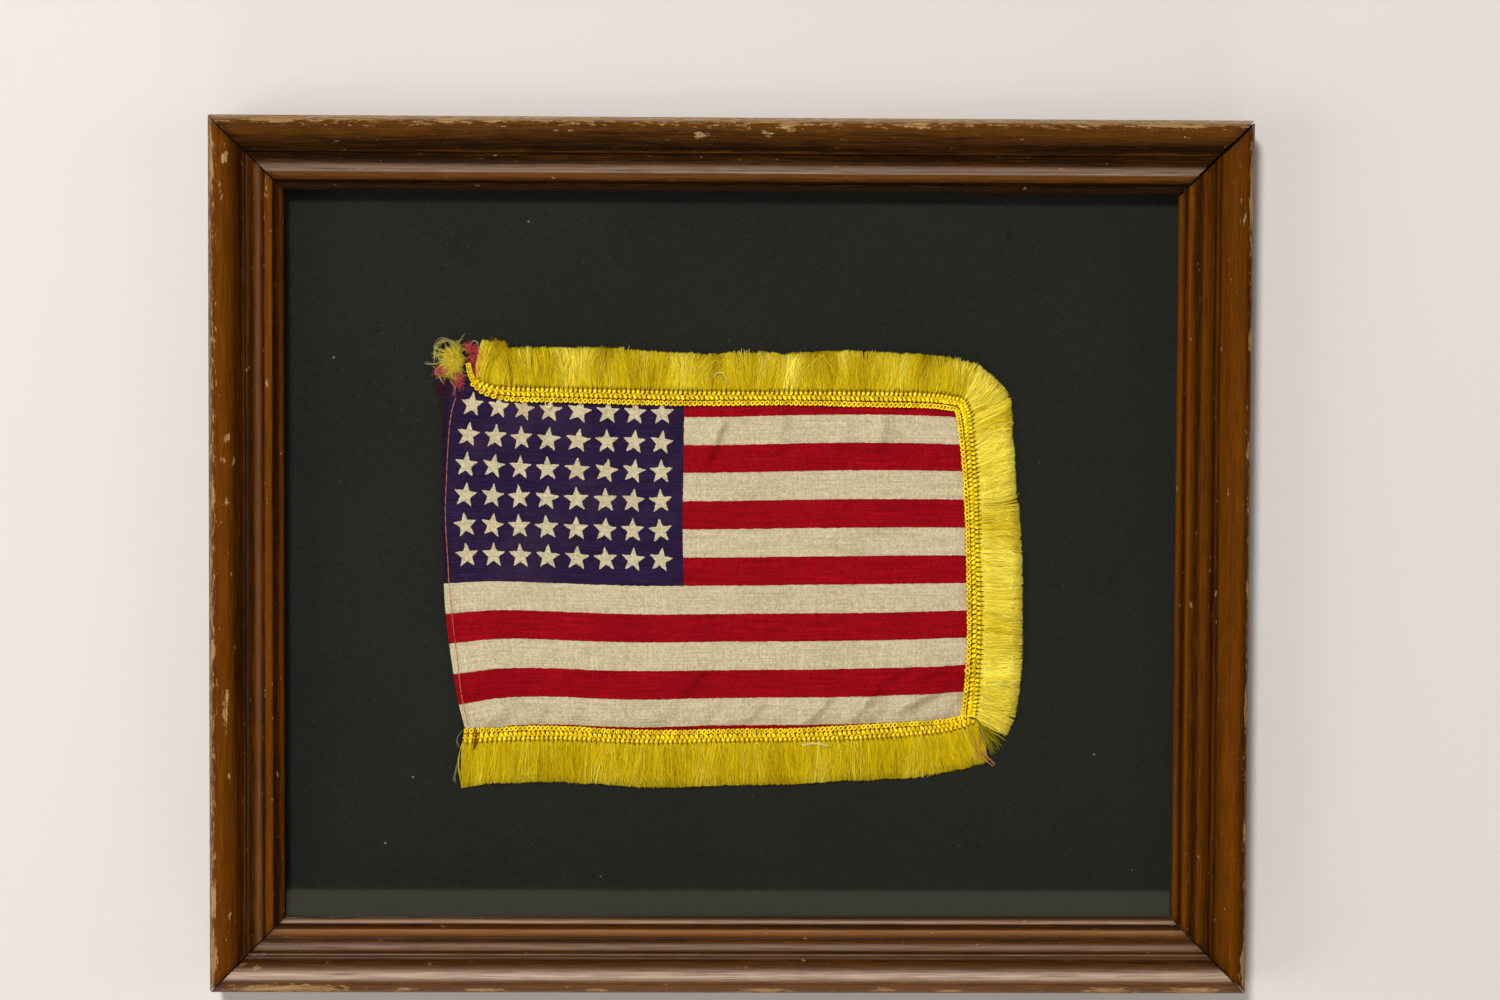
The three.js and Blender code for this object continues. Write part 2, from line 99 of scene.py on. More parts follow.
def mitred_rail(name, length, right_cut, left_cut, turn, place, rubbed, tone_stops, dulling_and_highlight_stops, chips):
    """A length of the moulding, extruded, cut to its mitres, chipped and set in its place."""
    bpy.ops.object.select_all(action="DESELECT")
    bpy.ops.mesh.primitive_circle_add(vertices=len(MOULDING), fill_type="NGON")
    rail = bpy.context.object
    rail.name = name
    for vertex, (inward, height) in zip(rail.data.vertices, MOULDING):
        vertex.co = (length / 2 * MM, -inward * MM, height * MM)
    bpy.ops.object.mode_set(mode="EDIT")
    bpy.ops.mesh.select_all(action="SELECT")
    bpy.ops.mesh.extrude_region_move(TRANSFORM_OT_translate={"value": (-length * MM, 0, 0)})
    bpy.ops.mesh.select_all(action="DESELECT")
    bpy.ops.mesh.select_mode(type="EDGE")
    bpy.ops.object.mode_set(mode="OBJECT")
    for edge in rail.data.edges:
        start, end = (rail.data.vertices[i].co.x for i in edge.vertices)
        edge.select = abs(start - end) > length / 2 * MM
    bpy.ops.object.mode_set(mode="EDIT")
    bpy.ops.mesh.subdivide(number_cuts=RAIL_CUTS)
    bpy.ops.mesh.select_all(action="SELECT")
    bpy.ops.mesh.normals_make_consistent(inside=False)
    bpy.ops.object.mode_set(mode="OBJECT")

    points = np.empty(len(rail.data.vertices) * 3)
    rail.data.vertices.foreach_get("co", points)
    points = points.reshape(-1, 3) / MM
    share = points[:, 0] / length + 0.5
    inward = -points[:, 1]
    height = points[:, 2]
    along = (inward + left_cut - length / 2) * (1 - share) + (length / 2 - inward - right_cut) * share
    front = np.clip((height - FACE_LOW) / 2, 0, 1)
    to_mitre = length / 2 - np.abs(along) - inward
    tone = np.interp(inward, *zip(*tone_stops)) * front + BACK_TONE * (1 - front)
    corners = profile_corners(inward, height)
    # Painted shade in the moulding's grooves and a painted highlight along its sharp arrises.
    tone = tone * (1 - np.clip(-corners * 1.7, 0, 0.95)) + 0.3 * front * np.clip(corners - 0.3, 0, 1)
    tone *= 1 - MITRE_SHADE * np.exp(-np.clip(to_mitre, 0, None) / MITRE_SHADE_REACH)
    # Dulled varnish and painted highlights along the face, at set distances from the outer edge.
    dulling_and_highlight = np.interp(inward, *zip(*dulling_and_highlight_stops)) * front
    edge_wear = rubbed - WEAR_FALL * np.abs(inward - WORN_EDGE)
    bare = np.where(height > CHIP_LOW, np.maximum(chipped(along, inward, chips), edge_wear), -1)
    dent = CHIP_DEPTH * np.clip(bare * 2.5, 0, 1) * np.clip((4 - inward) / 2, 0, 1)
    local = np.stack([along, -(inward + 0.5 * dent), height - dent], axis=1)
    cosine, sine = np.cos(turn), np.sin(turn)
    points[:, 0] = local[:, 0] * cosine - local[:, 1] * sine + place[0]
    points[:, 1] = local[:, 0] * sine + local[:, 1] * cosine + place[1]
    points[:, 2] = local[:, 2]
    rail.data.vertices.foreach_set("co", (points * MM).ravel())
    rail.data.update()
    set_attribute(rail, "tone", "FLOAT", tone)
    set_attribute(rail, "dulling_and_highlight", "FLOAT", dulling_and_highlight)
    set_attribute(rail, "bare", "FLOAT", bare)
    select_only(rail)
    bpy.ops.object.shade_smooth_by_angle(angle=SHARP_ANGLE)
    return rail


def add_node(tree, kind, inputs=None, **settings):
    """Adds a shader node; each input takes a plain value or another node's output."""
    node = tree.nodes.new(kind)
    for setting, value in settings.items():
        setattr(node, setting, value)
    for key, value in (inputs or {}).items():
        if isinstance(value, bpy.types.NodeSocket):
            tree.links.new(value, node.inputs[key])
        else:
            node.inputs[key].default_value = value
    return node


def calc(tree, operation, *values, clamp=False):
    node = add_node(tree, "ShaderNodeMath", dict(enumerate(values)), operation=operation, use_clamp=clamp)
    return node.outputs[0]


def ramp(tree, value, low, high):
    """A smooth step from 0 at low to 1 at high."""
    node = add_node(
        tree, "ShaderNodeMapRange", {"Value": value, "From Min": low, "From Max": high},
        interpolation_type="SMOOTHSTEP",
    )
    return node.outputs["Result"]


def blend(tree, share, first, second, mode="MIX"):
    node = add_node(
        tree, "ShaderNodeMix", {0: share, 6: first, 7: second}, data_type="RGBA", blend_type=mode,
    )
    return node.outputs[2]


def noise(tree, vector, scale, detail=3.0, roughness=0.55):
    node = add_node(
        tree, "ShaderNodeTexNoise",
        {"Vector": vector, "Scale": scale, "Detail": detail, "Roughness": roughness},
    )
    return node.outputs["Fac"]


def stretched(tree, vector, scale):
    node = add_node(tree, "ShaderNodeMapping", {"Vector": vector, "Scale": scale})
    return node.outputs["Vector"]


def raise_surface(tree, shader, height, strength, distance):
    bump = add_node(tree, "ShaderNodeBump", {"Height": height, "Strength": strength, "Distance": distance})
    tree.links.new(bump.outputs["Normal"], shader.inputs["Normal"])


def new_material(name):
    material = bpy.data.materials.new(name)
    material.use_nodes = True
    tree = material.node_tree
    return material, tree, tree.nodes["Principled BSDF"]


def new_group(name, inputs, outputs):
    tree = bpy.data.node_groups.new(name, "ShaderNodeTree")
    for socket_name, kind in inputs:
        tree.interface.new_socket(socket_name, in_out="INPUT", socket_type=kind)
    for socket_name, kind in outputs:
        tree.interface.new_socket(socket_name, in_out="OUTPUT", socket_type=kind)
    return tree, tree.nodes.new("NodeGroupInput"), tree.nodes.new("NodeGroupOutput")


# Stained hardwood with its grain along X: dark or rubbed golden, dulled in streaks that also paint
# highlights, or chipped to bare wood.
DULL_VARNISH_AND_HIGHLIGHT = (0.52, 0.38, 0.29, 1)
BARE_DARK = (0.19, 0.088, 0.026, 1)
BARE_LIGHT = (0.43, 0.265, 0.118, 1)
FLECK_STRENGTH = 0.55
aged_wood, wood_in, wood_out = new_group(
    "aged_wood",
    [("Vector", "NodeSocketVector"), ("Tone", "NodeSocketFloat"), ("Dulling_and_highlight", "NodeSocketFloat"),
     ("Bare", "NodeSocketFloat"), ("Dark stain", "NodeSocketColor"), ("Light stain", "NodeSocketColor")],
    [("Color", "NodeSocketColor"), ("Bare", "NodeSocketFloat"), ("Height", "NodeSocketFloat")],
)
place = wood_in.outputs["Vector"]
pores = noise(aged_wood, stretched(aged_wood, place, (110, 2600, 2600)), 1.0, 5.0, 0.65)
figure = noise(aged_wood, stretched(aged_wood, place, (12, 420, 420)), 1.0, 5.0, 0.6)
flakes = noise(aged_wood, stretched(aged_wood, place, (380, 1100, 1100)), 1.0, 6.0, 0.7)
flecks = noise(aged_wood, stretched(aged_wood, place, (260, 520, 520)), 1.0, 2.0)
streaks = noise(aged_wood, stretched(aged_wood, place, (70, 3200, 3200)), 1.0, 5.0, 0.6)


def about_middle(tree, value, strength, base):
    """The base value with a texture's ups and downs added."""
    return calc(tree, "MULTIPLY_ADD", calc(tree, "SUBTRACT", value, 0.5), strength, base)


tone = about_middle(aged_wood, figure, 0.85, wood_in.outputs["Tone"])
tone = calc(aged_wood, "MULTIPLY_ADD", calc(aged_wood, "SUBTRACT", pores, 0.5), 1.1, tone, clamp=True)
stain = blend(aged_wood, tone, wood_in.outputs["Dark stain"], wood_in.outputs["Light stain"])
# The dulled streaks also stand for painted highlights where the moulding catches the light.
dulled_and_highlighted = calc(aged_wood, "MULTIPLY", ramp(aged_wood, streaks, 0.12, 0.7), wood_in.outputs["Dulling_and_highlight"])
stain = blend(aged_wood, dulled_and_highlighted, stain, DULL_VARNISH_AND_HIGHLIGHT)
edge = about_middle(aged_wood, flakes, 3.2, wood_in.outputs["Bare"])
chip_share = ramp(aged_wood, edge, 0.02, 0.4)
flake_share = ramp(aged_wood, flakes, 0.645, 0.72)
fleck_share = calc(aged_wood, "MAXIMUM", flake_share, ramp(aged_wood, flecks, 0.71, 0.76))
fleck_share = calc(aged_wood, "MULTIPLY", fleck_share, FLECK_STRENGTH)
bare_share = calc(aged_wood, "MAXIMUM", chip_share, fleck_share)
bare_wood = blend(aged_wood, ramp(aged_wood, pores, 0.3, 0.7), BARE_DARK, BARE_LIGHT)
aged_wood.links.new(blend(aged_wood, bare_share, stain, bare_wood), wood_out.inputs["Color"])
aged_wood.links.new(bare_share, wood_out.inputs["Bare"])
relief = calc(aged_wood, "MULTIPLY_ADD", bare_share, -0.8, pores)
aged_wood.links.new(relief, wood_out.inputs["Height"])


def varnished_wood(name, turn, dark, light, roughness, gloss):
    material, tree, shader = new_material(name)
    where = add_node(tree, "ShaderNodeTexCoord").outputs["Object"]
    turned = add_node(tree, "ShaderNodeMapping", {"Vector": where, "Rotation": (0, 0, turn)})
    wood = add_node(tree, "ShaderNodeGroup", {"Vector": turned.outputs["Vector"]}, node_tree=aged_wood)
    for socket in ("Tone", "Dulling_and_highlight", "Bare"):
        kept = add_node(tree, "ShaderNodeAttribute", attribute_name=socket.lower())
        tree.links.new(kept.outputs["Fac"], wood.inputs[socket])
    wood.inputs["Dark stain"].default_value = (*dark, 1)
    wood.inputs["Light stain"].default_value = (*light, 1)
    rough = calc(tree, "MULTIPLY_ADD", wood.outputs["Bare"], 0.3, roughness)
    tree.links.new(wood.outputs["Color"], shader.inputs["Base Color"])
    tree.links.new(rough, shader.inputs["Roughness"])
    raise_surface(tree, shader, wood.outputs["Height"], 0.3, 0.0003)
    shader.inputs["Specular IOR Level"].default_value = gloss
    return material


HALF_TURN = np.pi
QUARTER_TURN = np.pi / 2
wood_top = varnished_wood(
    "varnished_wood_top", 0, dark=(0.012, 0.0042, 0.0006), light=(0.16, 0.053, 0.0045),
    roughness=0.5, gloss=0.03,
)
wood_bottom = varnished_wood(
    "varnished_wood_bottom", 0, dark=(0.026, 0.008, 0.0015), light=(0.18, 0.06, 0.007),
    roughness=0.4, gloss=0.1,
)
wood_sides = varnished_wood(
    "varnished_wood_sides", QUARTER_TURN, dark=(0.021, 0.0055, 0.0003), light=(0.17, 0.048, 0.001),
    roughness=0.5, gloss=0.02,
)
# Each rail's stain by distance from its outer edge, painted shadow under the top lip, its dulled varnish and
# painted highlights,
# and its chips: place along the rail, distance from the outer edge, half length and half width.
rails = [
    mitred_rail(
        "rail_top_worn", FRAME_WIDTH, MITRE_CUT, MITRE_CUT, 0, (0, FRAME_HEIGHT / 2),
        rubbed=0.3,
        tone_stops=[
            (0, 0.6), (1, 0.55), (3, 0.45), (4, 0.4), (6, 0.25), (8, 0.06), (12.4, 0.02), (13, 0.15),
            # The stop below zero paints shadow onto the lip's inner face.
            (14.3, 0.3), (14.8, 0.6), (16.4, 0.5), (17, 0.1), (18.3, 0.1), (19, -0.2),
        ],
        dulling_and_highlight_stops=[
            (0, 1), (0.9, 0.95), (1.3, 0.25), (1.7, 0), (13, 0), (13.5, 0.2), (14.1, 0.42),
            (14.5, 0.25), (14.9, 0.5), (15.3, 0),
        ],
        chips=[
            (-124, 0.8, 14, 1), (-123, 1.8, 5, 0.9), (-108, 1.2, 2.5, 0.9), (-99.5, 1.2, 2, 0.9),
            (-77, 1.4, 5, 1.3), (-65, 1.4, 2.3, 1.4), (-43, 0.8, 2, 0.7), (-11, 1.3, 1.2, 1.3),
            (-9, 5.2, 2.4, 1.1), (10, 0.5, 2.5, 0.8), (15.6, 2.2, 2.8, 2.1), (9.8, 4.9, 1.2, 0.8),
            (27, 0.5, 4, 0.8), (51, 2, 3.5, 1.3), (87, 1, 2, 0.8), (99, 1.2, 2, 1), (120, 1.8, 14, 0.7),
        ],
    ),
    mitred_rail(
        "rail_bottom_worn", FRAME_WIDTH, MITRE_CUT, MITRE_CUT, HALF_TURN, (0, -FRAME_HEIGHT / 2),
        rubbed=-0.12,
        tone_stops=[
            (0, 0.45), (2.4, 0.5), (3.2, 0.35), (6, 0.3), (8.5, 0.2), (10, 0.25), (10.3, 0.4),
            (10.7, 0.25), (12.6, 0.35), (14.2, 0.15), (15, 0.1), (15.5, 0.55), (16.8, 0.95),
            (17.4, 0.3), (18.4, 0.2), (19, 0.4), (20, 0.3),
        ],
        dulling_and_highlight_stops=[
            (0, 0), (3.8, 0), (4.6, 0.55), (5.2, 1), (5.9, 1), (6.6, 0.4), (7.4, 0.1), (8.2, 0),
            (9.9, 0), (10.3, 0.35), (10.7, 0), (11.7, 0), (12.4, 0.7), (13, 0.15), (13.4, 0), (16, 0),
            (16.7, 0.3), (17.2, 0), (18.4, 0), (18.9, 0.9), (19.4, 0.3), (19.8, 0),
        ],
        chips=[
            (121, 1.6, 18.5, 1.5), (89, 1.4, 3.8, 0.8), (68, 1.2, 8, 0.9), (36, 1.2, 2.5, 0.9),
            (-10, 1.2, 9, 0.9), (-43, 1.3, 3, 1), (-60, 1, 5, 0.7), (-104, 1.2, 8, 1),
            (-128, 1.3, 9, 1.3), (109.5, 8.2, 1.1, 0.5), (129, 7.3, 1.6, 0.7), (112, 6, 0.8, 0.4),
        ],
    ),
    mitred_rail(
        "rail_left_worn", FRAME_HEIGHT, MITRE_CUT, MITRE_CUT, QUARTER_TURN, (-FRAME_WIDTH / 2, 0),
        rubbed=0.2,
        tone_stops=[
            (0, 0.5), (1.4, 0.42), (2.6, 0.46), (6.5, 0.46), (8, 0.2), (9.5, 0.08), (10.4, 0.15),
            (11, 0), (12, 0), (12.8, 0.35), (14, 0.4), (14.6, 0.35), (15, 0.55), (16.8, 0.6),
            (17.2, 0.05), (19, 0.1), (19.6, 0.2),
        ],
        dulling_and_highlight_stops=[
            (0, 0.25), (1.4, 0.1), (2, 0), (10, 0), (10.4, 0.1), (10.8, 0), (13, 0), (13.6, 0.12),
            (14.4, 0),
        ],
        chips=[
            (107, 1.4, 9, 0.8), (108, 5.2, 1.8, 1.1), (98, 4.3, 5, 0.4), (100, 15.7, 6, 0.5),
            (32, 5.8, 1.6, 1.3), (26.5, 7.2, 1.9, 0.5), (27, 4.8, 1.4, 0.9), (46.5, 3.8, 0.9, 0.5),
            (47, 0.9, 3.5, 0.5), (15, 5.5, 1.2, 0.9), (17, 1.6, 3.4, 1), (47.5, 16, 1.4, 0.7),
            (-42, 5.2, 6, 0.8), (-26, 1.6, 2.8, 1), (-60, 6, 1.5, 0.8), (-94, 1.5, 5.5, 1.4),
            (-98.5, 6.2, 1.2, 0.8), (-110, 1.5, 7, 1.3),
        ],
    ),
    mitred_rail(
        "rail_right_worn", FRAME_HEIGHT, MITRE_CUT, OPEN_MITRE_CUT, -QUARTER_TURN, (FRAME_WIDTH / 2, 0),
        rubbed=0,
        tone_stops=[
            (0, 0.7), (0.8, 0.5), (1.6, 0.2), (2.2, 0.2), (3, 0.42), (6.6, 0.46), (8.6, 0.42), (9, 0.1),
            (9.6, 0.1), (10.2, 0.25), (11, 0.38), (13.6, 0.28), (14.2, 0.05), (15, 0.05), (16.4, 0.35),
            (17.2, 0.55), (17.8, 0.4),
        ],
        dulling_and_highlight_stops=[(0, 0.7), (0.6, 0.4), (1, 0)],
        chips=[
            (-100, 1.2, 18, 0.8), (-92.7, 3.2, 0.9, 0.7), (-60, 1, 4, 0.7), (-30, 1.2, 3, 0.8),
            (8, 1, 2.5, 0.8), (40, 1.2, 6, 0.7), (75, 1, 4, 0.8), (112, 1.3, 6, 1),
        ],
    ),
]
for rail, node, finish in zip(
    rails,
    ("rail_top", "rail_bottom", "rail_left", "rail_right"),
    (wood_top, wood_bottom, wood_sides, wood_sides),
):
    rail.data.materials.append(finish)
    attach(rail, "root")
    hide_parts(node)

# Backing board
# A black mat board of pressed paper, slightly fibrous, cut to fit the rabbet.
# Dust and lint are caught on it behind the glass, and its face has one small blister.
BOARD_DARK = (0.0105, 0.0112, 0.0088, 1)
BOARD_LIGHT = (0.016, 0.0167, 0.0134, 1)
BOARD_FIBRE = (0.028, 0.029, 0.024, 1)
DUST_GREY = (0.34, 0.34, 0.32, 1)
DUST_STRENGTH = 0.85
FINE_DUST_STRENGTH = 0.25
BLISTER = (0.0749, 0.088, 0.0043)
BLISTER_SIZE = (0.0017, 0.0017, 0.0005)
dust, dust_in, dust_out = new_group("dust", [("Vector", "NodeSocketVector")], [("Mask", "NodeSocketFloat")])


def specks(tree, vector, scale, share, radius):
    """Round specks in a share of the cells of a scattered pattern."""
    cells = add_node(tree, "ShaderNodeTexVoronoi", {"Vector": vector, "Scale": scale})
    drawn = add_node(tree, "ShaderNodeSeparateColor", {"Color": cells.outputs["Color"]})
    chosen = calc(tree, "GREATER_THAN", drawn.outputs["Red"], 1 - share)
    return calc(tree, "MULTIPLY", chosen, ramp(tree, cells.outputs["Distance"], radius, radius * 0.5))


fine_dust = specks(dust, dust_in.outputs["Vector"], 420.0, 0.45, 0.09)
fine_dust = calc(dust, "MULTIPLY", fine_dust, FINE_DUST_STRENGTH)
coarse_dust = specks(dust, dust_in.outputs["Vector"], 95.0, 0.5, 0.03)
dust.links.new(calc(dust, "MAXIMUM", fine_dust, coarse_dust), dust_out.inputs["Mask"])


def shaded(tree, colour, value):
    """A colour made darker or lighter by a value that varies over the surface."""
    grey = add_node(tree, "ShaderNodeCombineColor", {0: value, 1: value, 2: value}).outputs[0]
    return blend(tree, 1.0, colour, grey, "MULTIPLY")


board_paper, tree, shader = new_material("black_mat_board")
where = add_node(tree, "ShaderNodeTexCoord").outputs["Object"]
fibres = noise(tree, stretched(tree, where, (1200, 500, 500)), 1.0, 4.0)
mottle = noise(tree, where, 24.0, 3.0)
board_colour = blend(tree, mottle, BOARD_DARK, BOARD_LIGHT)
board_colour = blend(tree, ramp(tree, fibres, 0.62, 0.85), board_colour, BOARD_FIBRE)
grain = calc(tree, "MULTIPLY_ADD", noise(tree, where, 1900.0, 2.0), 1.5, 0.25)
board_colour = shaded(tree, board_colour, grain)
dust_node = add_node(tree, "ShaderNodeGroup", {"Vector": where}, node_tree=dust)
speck_share = calc(tree, "MULTIPLY", dust_node.outputs["Mask"], DUST_STRENGTH)
board_colour = blend(tree, speck_share, board_colour, DUST_GREY)
tree.links.new(board_colour, shader.inputs["Base Color"])
raise_surface(tree, shader, fibres, 0.3, 0.0002)
shader.inputs["Roughness"].default_value = 1
shader.inputs["Specular IOR Level"].default_value = 0.05
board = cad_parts["backing_board"]
board.data.materials.clear()
board.data.materials.append(board_paper)
bpy.ops.object.select_all(action="DESELECT")
bpy.ops.mesh.primitive_uv_sphere_add(
    segments=32, ring_count=16, radius=1, location=BLISTER, scale=BLISTER_SIZE,
)
bpy.ops.object.transform_apply(location=True, rotation=True, scale=True)
bpy.ops.object.shade_smooth()
blister = bpy.context.object
blister.name = "board_blister"
blister.data.materials.append(board_paper)
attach(blister, "root")

# Flag cloth
# One sheet of plain-weave cotton, printed in three colours, hemmed and machine stitched along the hoist.
# It lies on the board, drawn in at its lower hoist corner and puckered where the fringe is sewn on.
TOP_EDGE = [
    (-78.7, 49.3), (-64.7, 47.7), (-51.4, 46.7), (-36.3, 46.3), (-22.5, 46), (-8.6, 45.8), (5.2, 46.1),
    (19, 46.6), (35.6, 46.8), (50.8, 46.6), (65.5, 45.8),
]
FOOT_EDGE = [
    (-71.7, -54.3), (-59.5, -51.7), (-46.5, -51.3), (-33.2, -51.8), (-20, -51.9), (-6.6, -51.4),
    (7.5, -51.2), (22, -51.1), (37, -50.7), (52.5, -49.9), (68.2, -48.6),
]
HOIST_EDGE = [
    (-78.7, 49.3), (-79.5, 36.5), (-79.9, 23.6), (-80.1, 10.8), (-79.5, -2.1), (-78.8, -15.1),
    (-77.3, -28.2), (-75.1, -41.5), (-71.7, -54.3),
]
FLY_EDGE = [
    (65.5, 45.8), (67, 33.9), (68, 22.3), (68.7, 10.1), (69.2, -1.8), (69.6, -13.8), (69.4, -25.5),
    (68.9, -37.2), (68.2, -48.6),
]
CREASES = [
    # from, to, half width, height
    ((-2, 38), (-7, 26), 1.5, 1.1), ((14, 40), (13, 29), 2.2, 0.8), ((31, 40), (30, 31), 2.4, 0.8),
    ((42, 39), (41, 30), 2.1, 0.7), ((-36, 39), (-31, 28), 1.6, 0.9), ((-56, 38), (-52, 27), 1.8, 0.9),
    ((-69, 32), (-62, 20), 1.8, 0.8), ((21, -46), (28, -38.5), 1.5, 1.2), ((4, -46), (9, -41), 1.4, 0.9),
    ((34, -45), (41, -36), 1.6, 1.2), ((47, -42), (60, -36), 1.6, 1.3), ((-14, -38), (-7, -31), 1.6, 0.8),
    ((40, -35), (49, -31), 1.5, 0.9), ((50, -34), (60, -30), 1.5, 0.9), ((-48, 12), (-44, 2), 1.9, 0.5),
    ((-22, 30), (-18, 18), 1.6, 0.5),
]
CLOTH_WIDTH = 146
CLOTH_HEIGHT = 98
HEM_RISE = 0.28
SHEET_COLUMNS = 236
SHEET_ROWS = 160
SHEET_THICKNESS = 0.35
SHEET_LOW = 4.45


def smooth_step(values, low, high):
    share = np.clip((values - low) / (high - low), 0, 1)
    return share * share * (3 - 2 * share)


def along_curve(points, shares):
    """Points on a smooth curve through given points, at shares of the way from 0 to 1."""
    points = np.array(points, dtype=float)
    padded = np.vstack([2 * points[0] - points[1], points, 2 * points[-1] - points[-2]])
    spot = np.clip(np.asarray(shares, dtype=float), 0, 1) * (len(points) - 1)
    first = np.minimum(spot.astype(int), len(points) - 2)
    t = (spot - first)[..., None]
    a, b, c, d = (padded[first + k] for k in range(4))
    cubic = (3 * (b - c) + d - a) * t ** 3 + (2 * a - 5 * b + 4 * c - d) * t ** 2 + (c - a) * t
    return b + cubic / 2


def cloth_places(u, v):
    """Where the sheet lies between its four edges: u from hoist to fly, v from top to foot."""
    across = along_curve(TOP_EDGE, u) * (1 - v)[..., None] + along_curve(FOOT_EDGE, u) * v[..., None]
    down = along_curve(HOIST_EDGE, v) * (1 - u)[..., None] + along_curve(FLY_EDGE, v) * u[..., None]
    top = (1 - u)[..., None] * np.array(TOP_EDGE[0]) + u[..., None] * np.array(TOP_EDGE[-1])
    foot = (1 - u)[..., None] * np.array(FOOT_EDGE[0]) + u[..., None] * np.array(FOOT_EDGE[-1])
    corners = top * (1 - v)[..., None] + foot * v[..., None]
    return across + down - corners


def crease_height(x, y):
    height = np.zeros_like(x)
    for start, end, width, rise in CREASES:
        run = np.array(end, dtype=float) - start
        share = np.clip(((x - start[0]) * run[0] + (y - start[1]) * run[1]) / run.dot(run), -0.25, 1.25)
        away = np.hypot(x - start[0] - share * run[0], y - start[1] - share * run[1])
        fade = smooth_step(share, -0.25, 0.2) * smooth_step(-share, -1.25, -0.8)
        height += rise * fade * np.exp(-(away / width) ** 2)
    return height


def cloth_height(u, v, x, y):
    """Height of the sheet's middle: broad waves, puckers along the sewn sides, and creases."""
    from_top = v * CLOTH_HEIGHT
    from_foot = (1 - v) * CLOTH_HEIGHT
    from_fly = (1 - u) * CLOTH_WIDTH
    waves = 0.26 * np.sin(0.21 * x + 0.13 * y + 1) + 0.2 * np.sin(0.11 * x - 0.24 * y) + 0.46
    top_pucker = np.sin(0.62 * x + 0.8 * np.sin(0.17 * x)) + 0.6 * np.sin(0.33 * x + 2)
    top_pucker *= np.exp(-from_top / 11)
    foot_pucker = np.sin(0.55 * (x - 0.8 * y) + np.sin(0.13 * x)) + 0.5 * np.sin(0.31 * (x - 0.7 * y))
    foot_pucker *= np.exp(-from_foot / 12)
    fly_pucker = np.sin(0.5 * y + np.sin(0.2 * y)) * np.exp(-from_fly / 8)
    free = smooth_step(from_top, 1, 7) * smooth_step(from_foot, 1, 7) * smooth_step(from_fly, 1, 6)
    height = waves + 0.36 * top_pucker + 0.36 * foot_pucker + 0.22 * fly_pucker + crease_height(x, y)
    hem = HEM_RISE * smooth_step(-u * CLOTH_WIDTH, -2.4, -1.6)
    return SHEET_LOW + 0.2 + np.clip(height, 0, None) * free + hem


def mesh_piece(name, points, quads, triangles=()):
    """A piece from points in millimetres and lists of corner indices."""
    mesh = bpy.data.meshes.new(name)
    sizes = [4] * len(quads) + [3] * len(triangles)
    corners = np.concatenate([np.asarray(faces, dtype=np.int32).ravel() for faces in (quads, triangles)])
    mesh.vertices.add(len(points))
    mesh.vertices.foreach_set("co", (np.asarray(points) * MM).ravel())
    mesh.loops.add(len(corners))
    mesh.loops.foreach_set("vertex_index", corners)
    mesh.polygons.add(len(sizes))
    mesh.polygons.foreach_set("loop_start", np.concatenate([[0], np.cumsum(sizes)[:-1]]))
    mesh.polygons.foreach_set("loop_total", sizes)
    mesh.update(calc_edges=True)
    mesh.validate()
    piece = bpy.data.objects.new(name, mesh)
    bpy.context.scene.collection.objects.link(piece)
    select_only(piece)
    bpy.ops.object.shade_smooth()
    return piece


a, b = np.meshgrid(np.linspace(0, 1, SHEET_COLUMNS + 1), np.linspace(0, 1, SHEET_ROWS + 1))
near_hoist = smooth_step(-a, -0.08, 0)
near_fly = smooth_step(a, 0.92, 1)
near_top = smooth_step(-b, -0.08, 0)
near_foot = smooth_step(b, 0.92, 1)
first_v = 0.011 + 0.022 * near_fly
last_v = 0.989 - 0.022 * (near_fly + near_hoist)
sheet_v = first_v + (last_v - first_v) * b
sheet_u = a * (0.993 - 0.01 * (near_top + near_foot))
spots = cloth_places(sheet_u, sheet_v)
fray = np.random.default_rng(5).normal(0, 0.18, a.shape) * (a == 0) * (sheet_v < 0.05)
middle = cloth_height(sheet_u, sheet_v, spots[..., 0], spots[..., 1])
upper = np.dstack([spots[..., 0] + fray, spots[..., 1] + fray, middle + SHEET_THICKNESS / 2]).reshape(-1, 3)
lower = np.dstack([spots[..., 0] + fray, spots[..., 1] + fray, middle - SHEET_THICKNESS / 2]).reshape(-1, 3)
index = np.arange(a.size).reshape(a.shape)
cells = np.stack([index[1:, :-1], index[1:, 1:], index[:-1, 1:], index[:-1, :-1]], axis=-1).reshape(-1, 4)
rim = np.concatenate([index[-1, :-1], index[:0:-1, -1], index[0, :0:-1], index[:-1, 0]])
rim_next = np.roll(rim, -1)
walls = np.stack([rim, rim + a.size, rim_next + a.size, rim_next], axis=-1)
faces = np.vstack([cells, cells[:, ::-1] + a.size, walls])
cloth = mesh_piece("flag_sheet", np.vstack([upper, lower]), faces)
print_layer = cloth.data.uv_layers.new(name="print")
loop_points = np.empty(len(cloth.data.loops), dtype=np.int32)
cloth.data.loops.foreach_get("vertex_index", loop_points)
flat_places = np.stack([sheet_u.ravel(), sheet_v.ravel()], axis=1)
print_layer.data.foreach_set("uv", flat_places[loop_points % a.size].astype(np.float32).ravel())
# Painted shade in the folds: darker on the side that slopes down towards the foot and the fly, away from the
# key light.
slope_across = np.gradient(middle, axis=1) / np.gradient(spots[..., 0], axis=1)
slope_up = np.gradient(middle, axis=0) / np.gradient(spots[..., 1], axis=0)
fold_shade = np.clip(1.6 * (0.92 * slope_up - 0.4 * slope_across) - 0.05, 0, 1).ravel()
set_attribute(cloth, "fold_shade", "FLOAT", np.concatenate([fold_shade, fold_shade]))

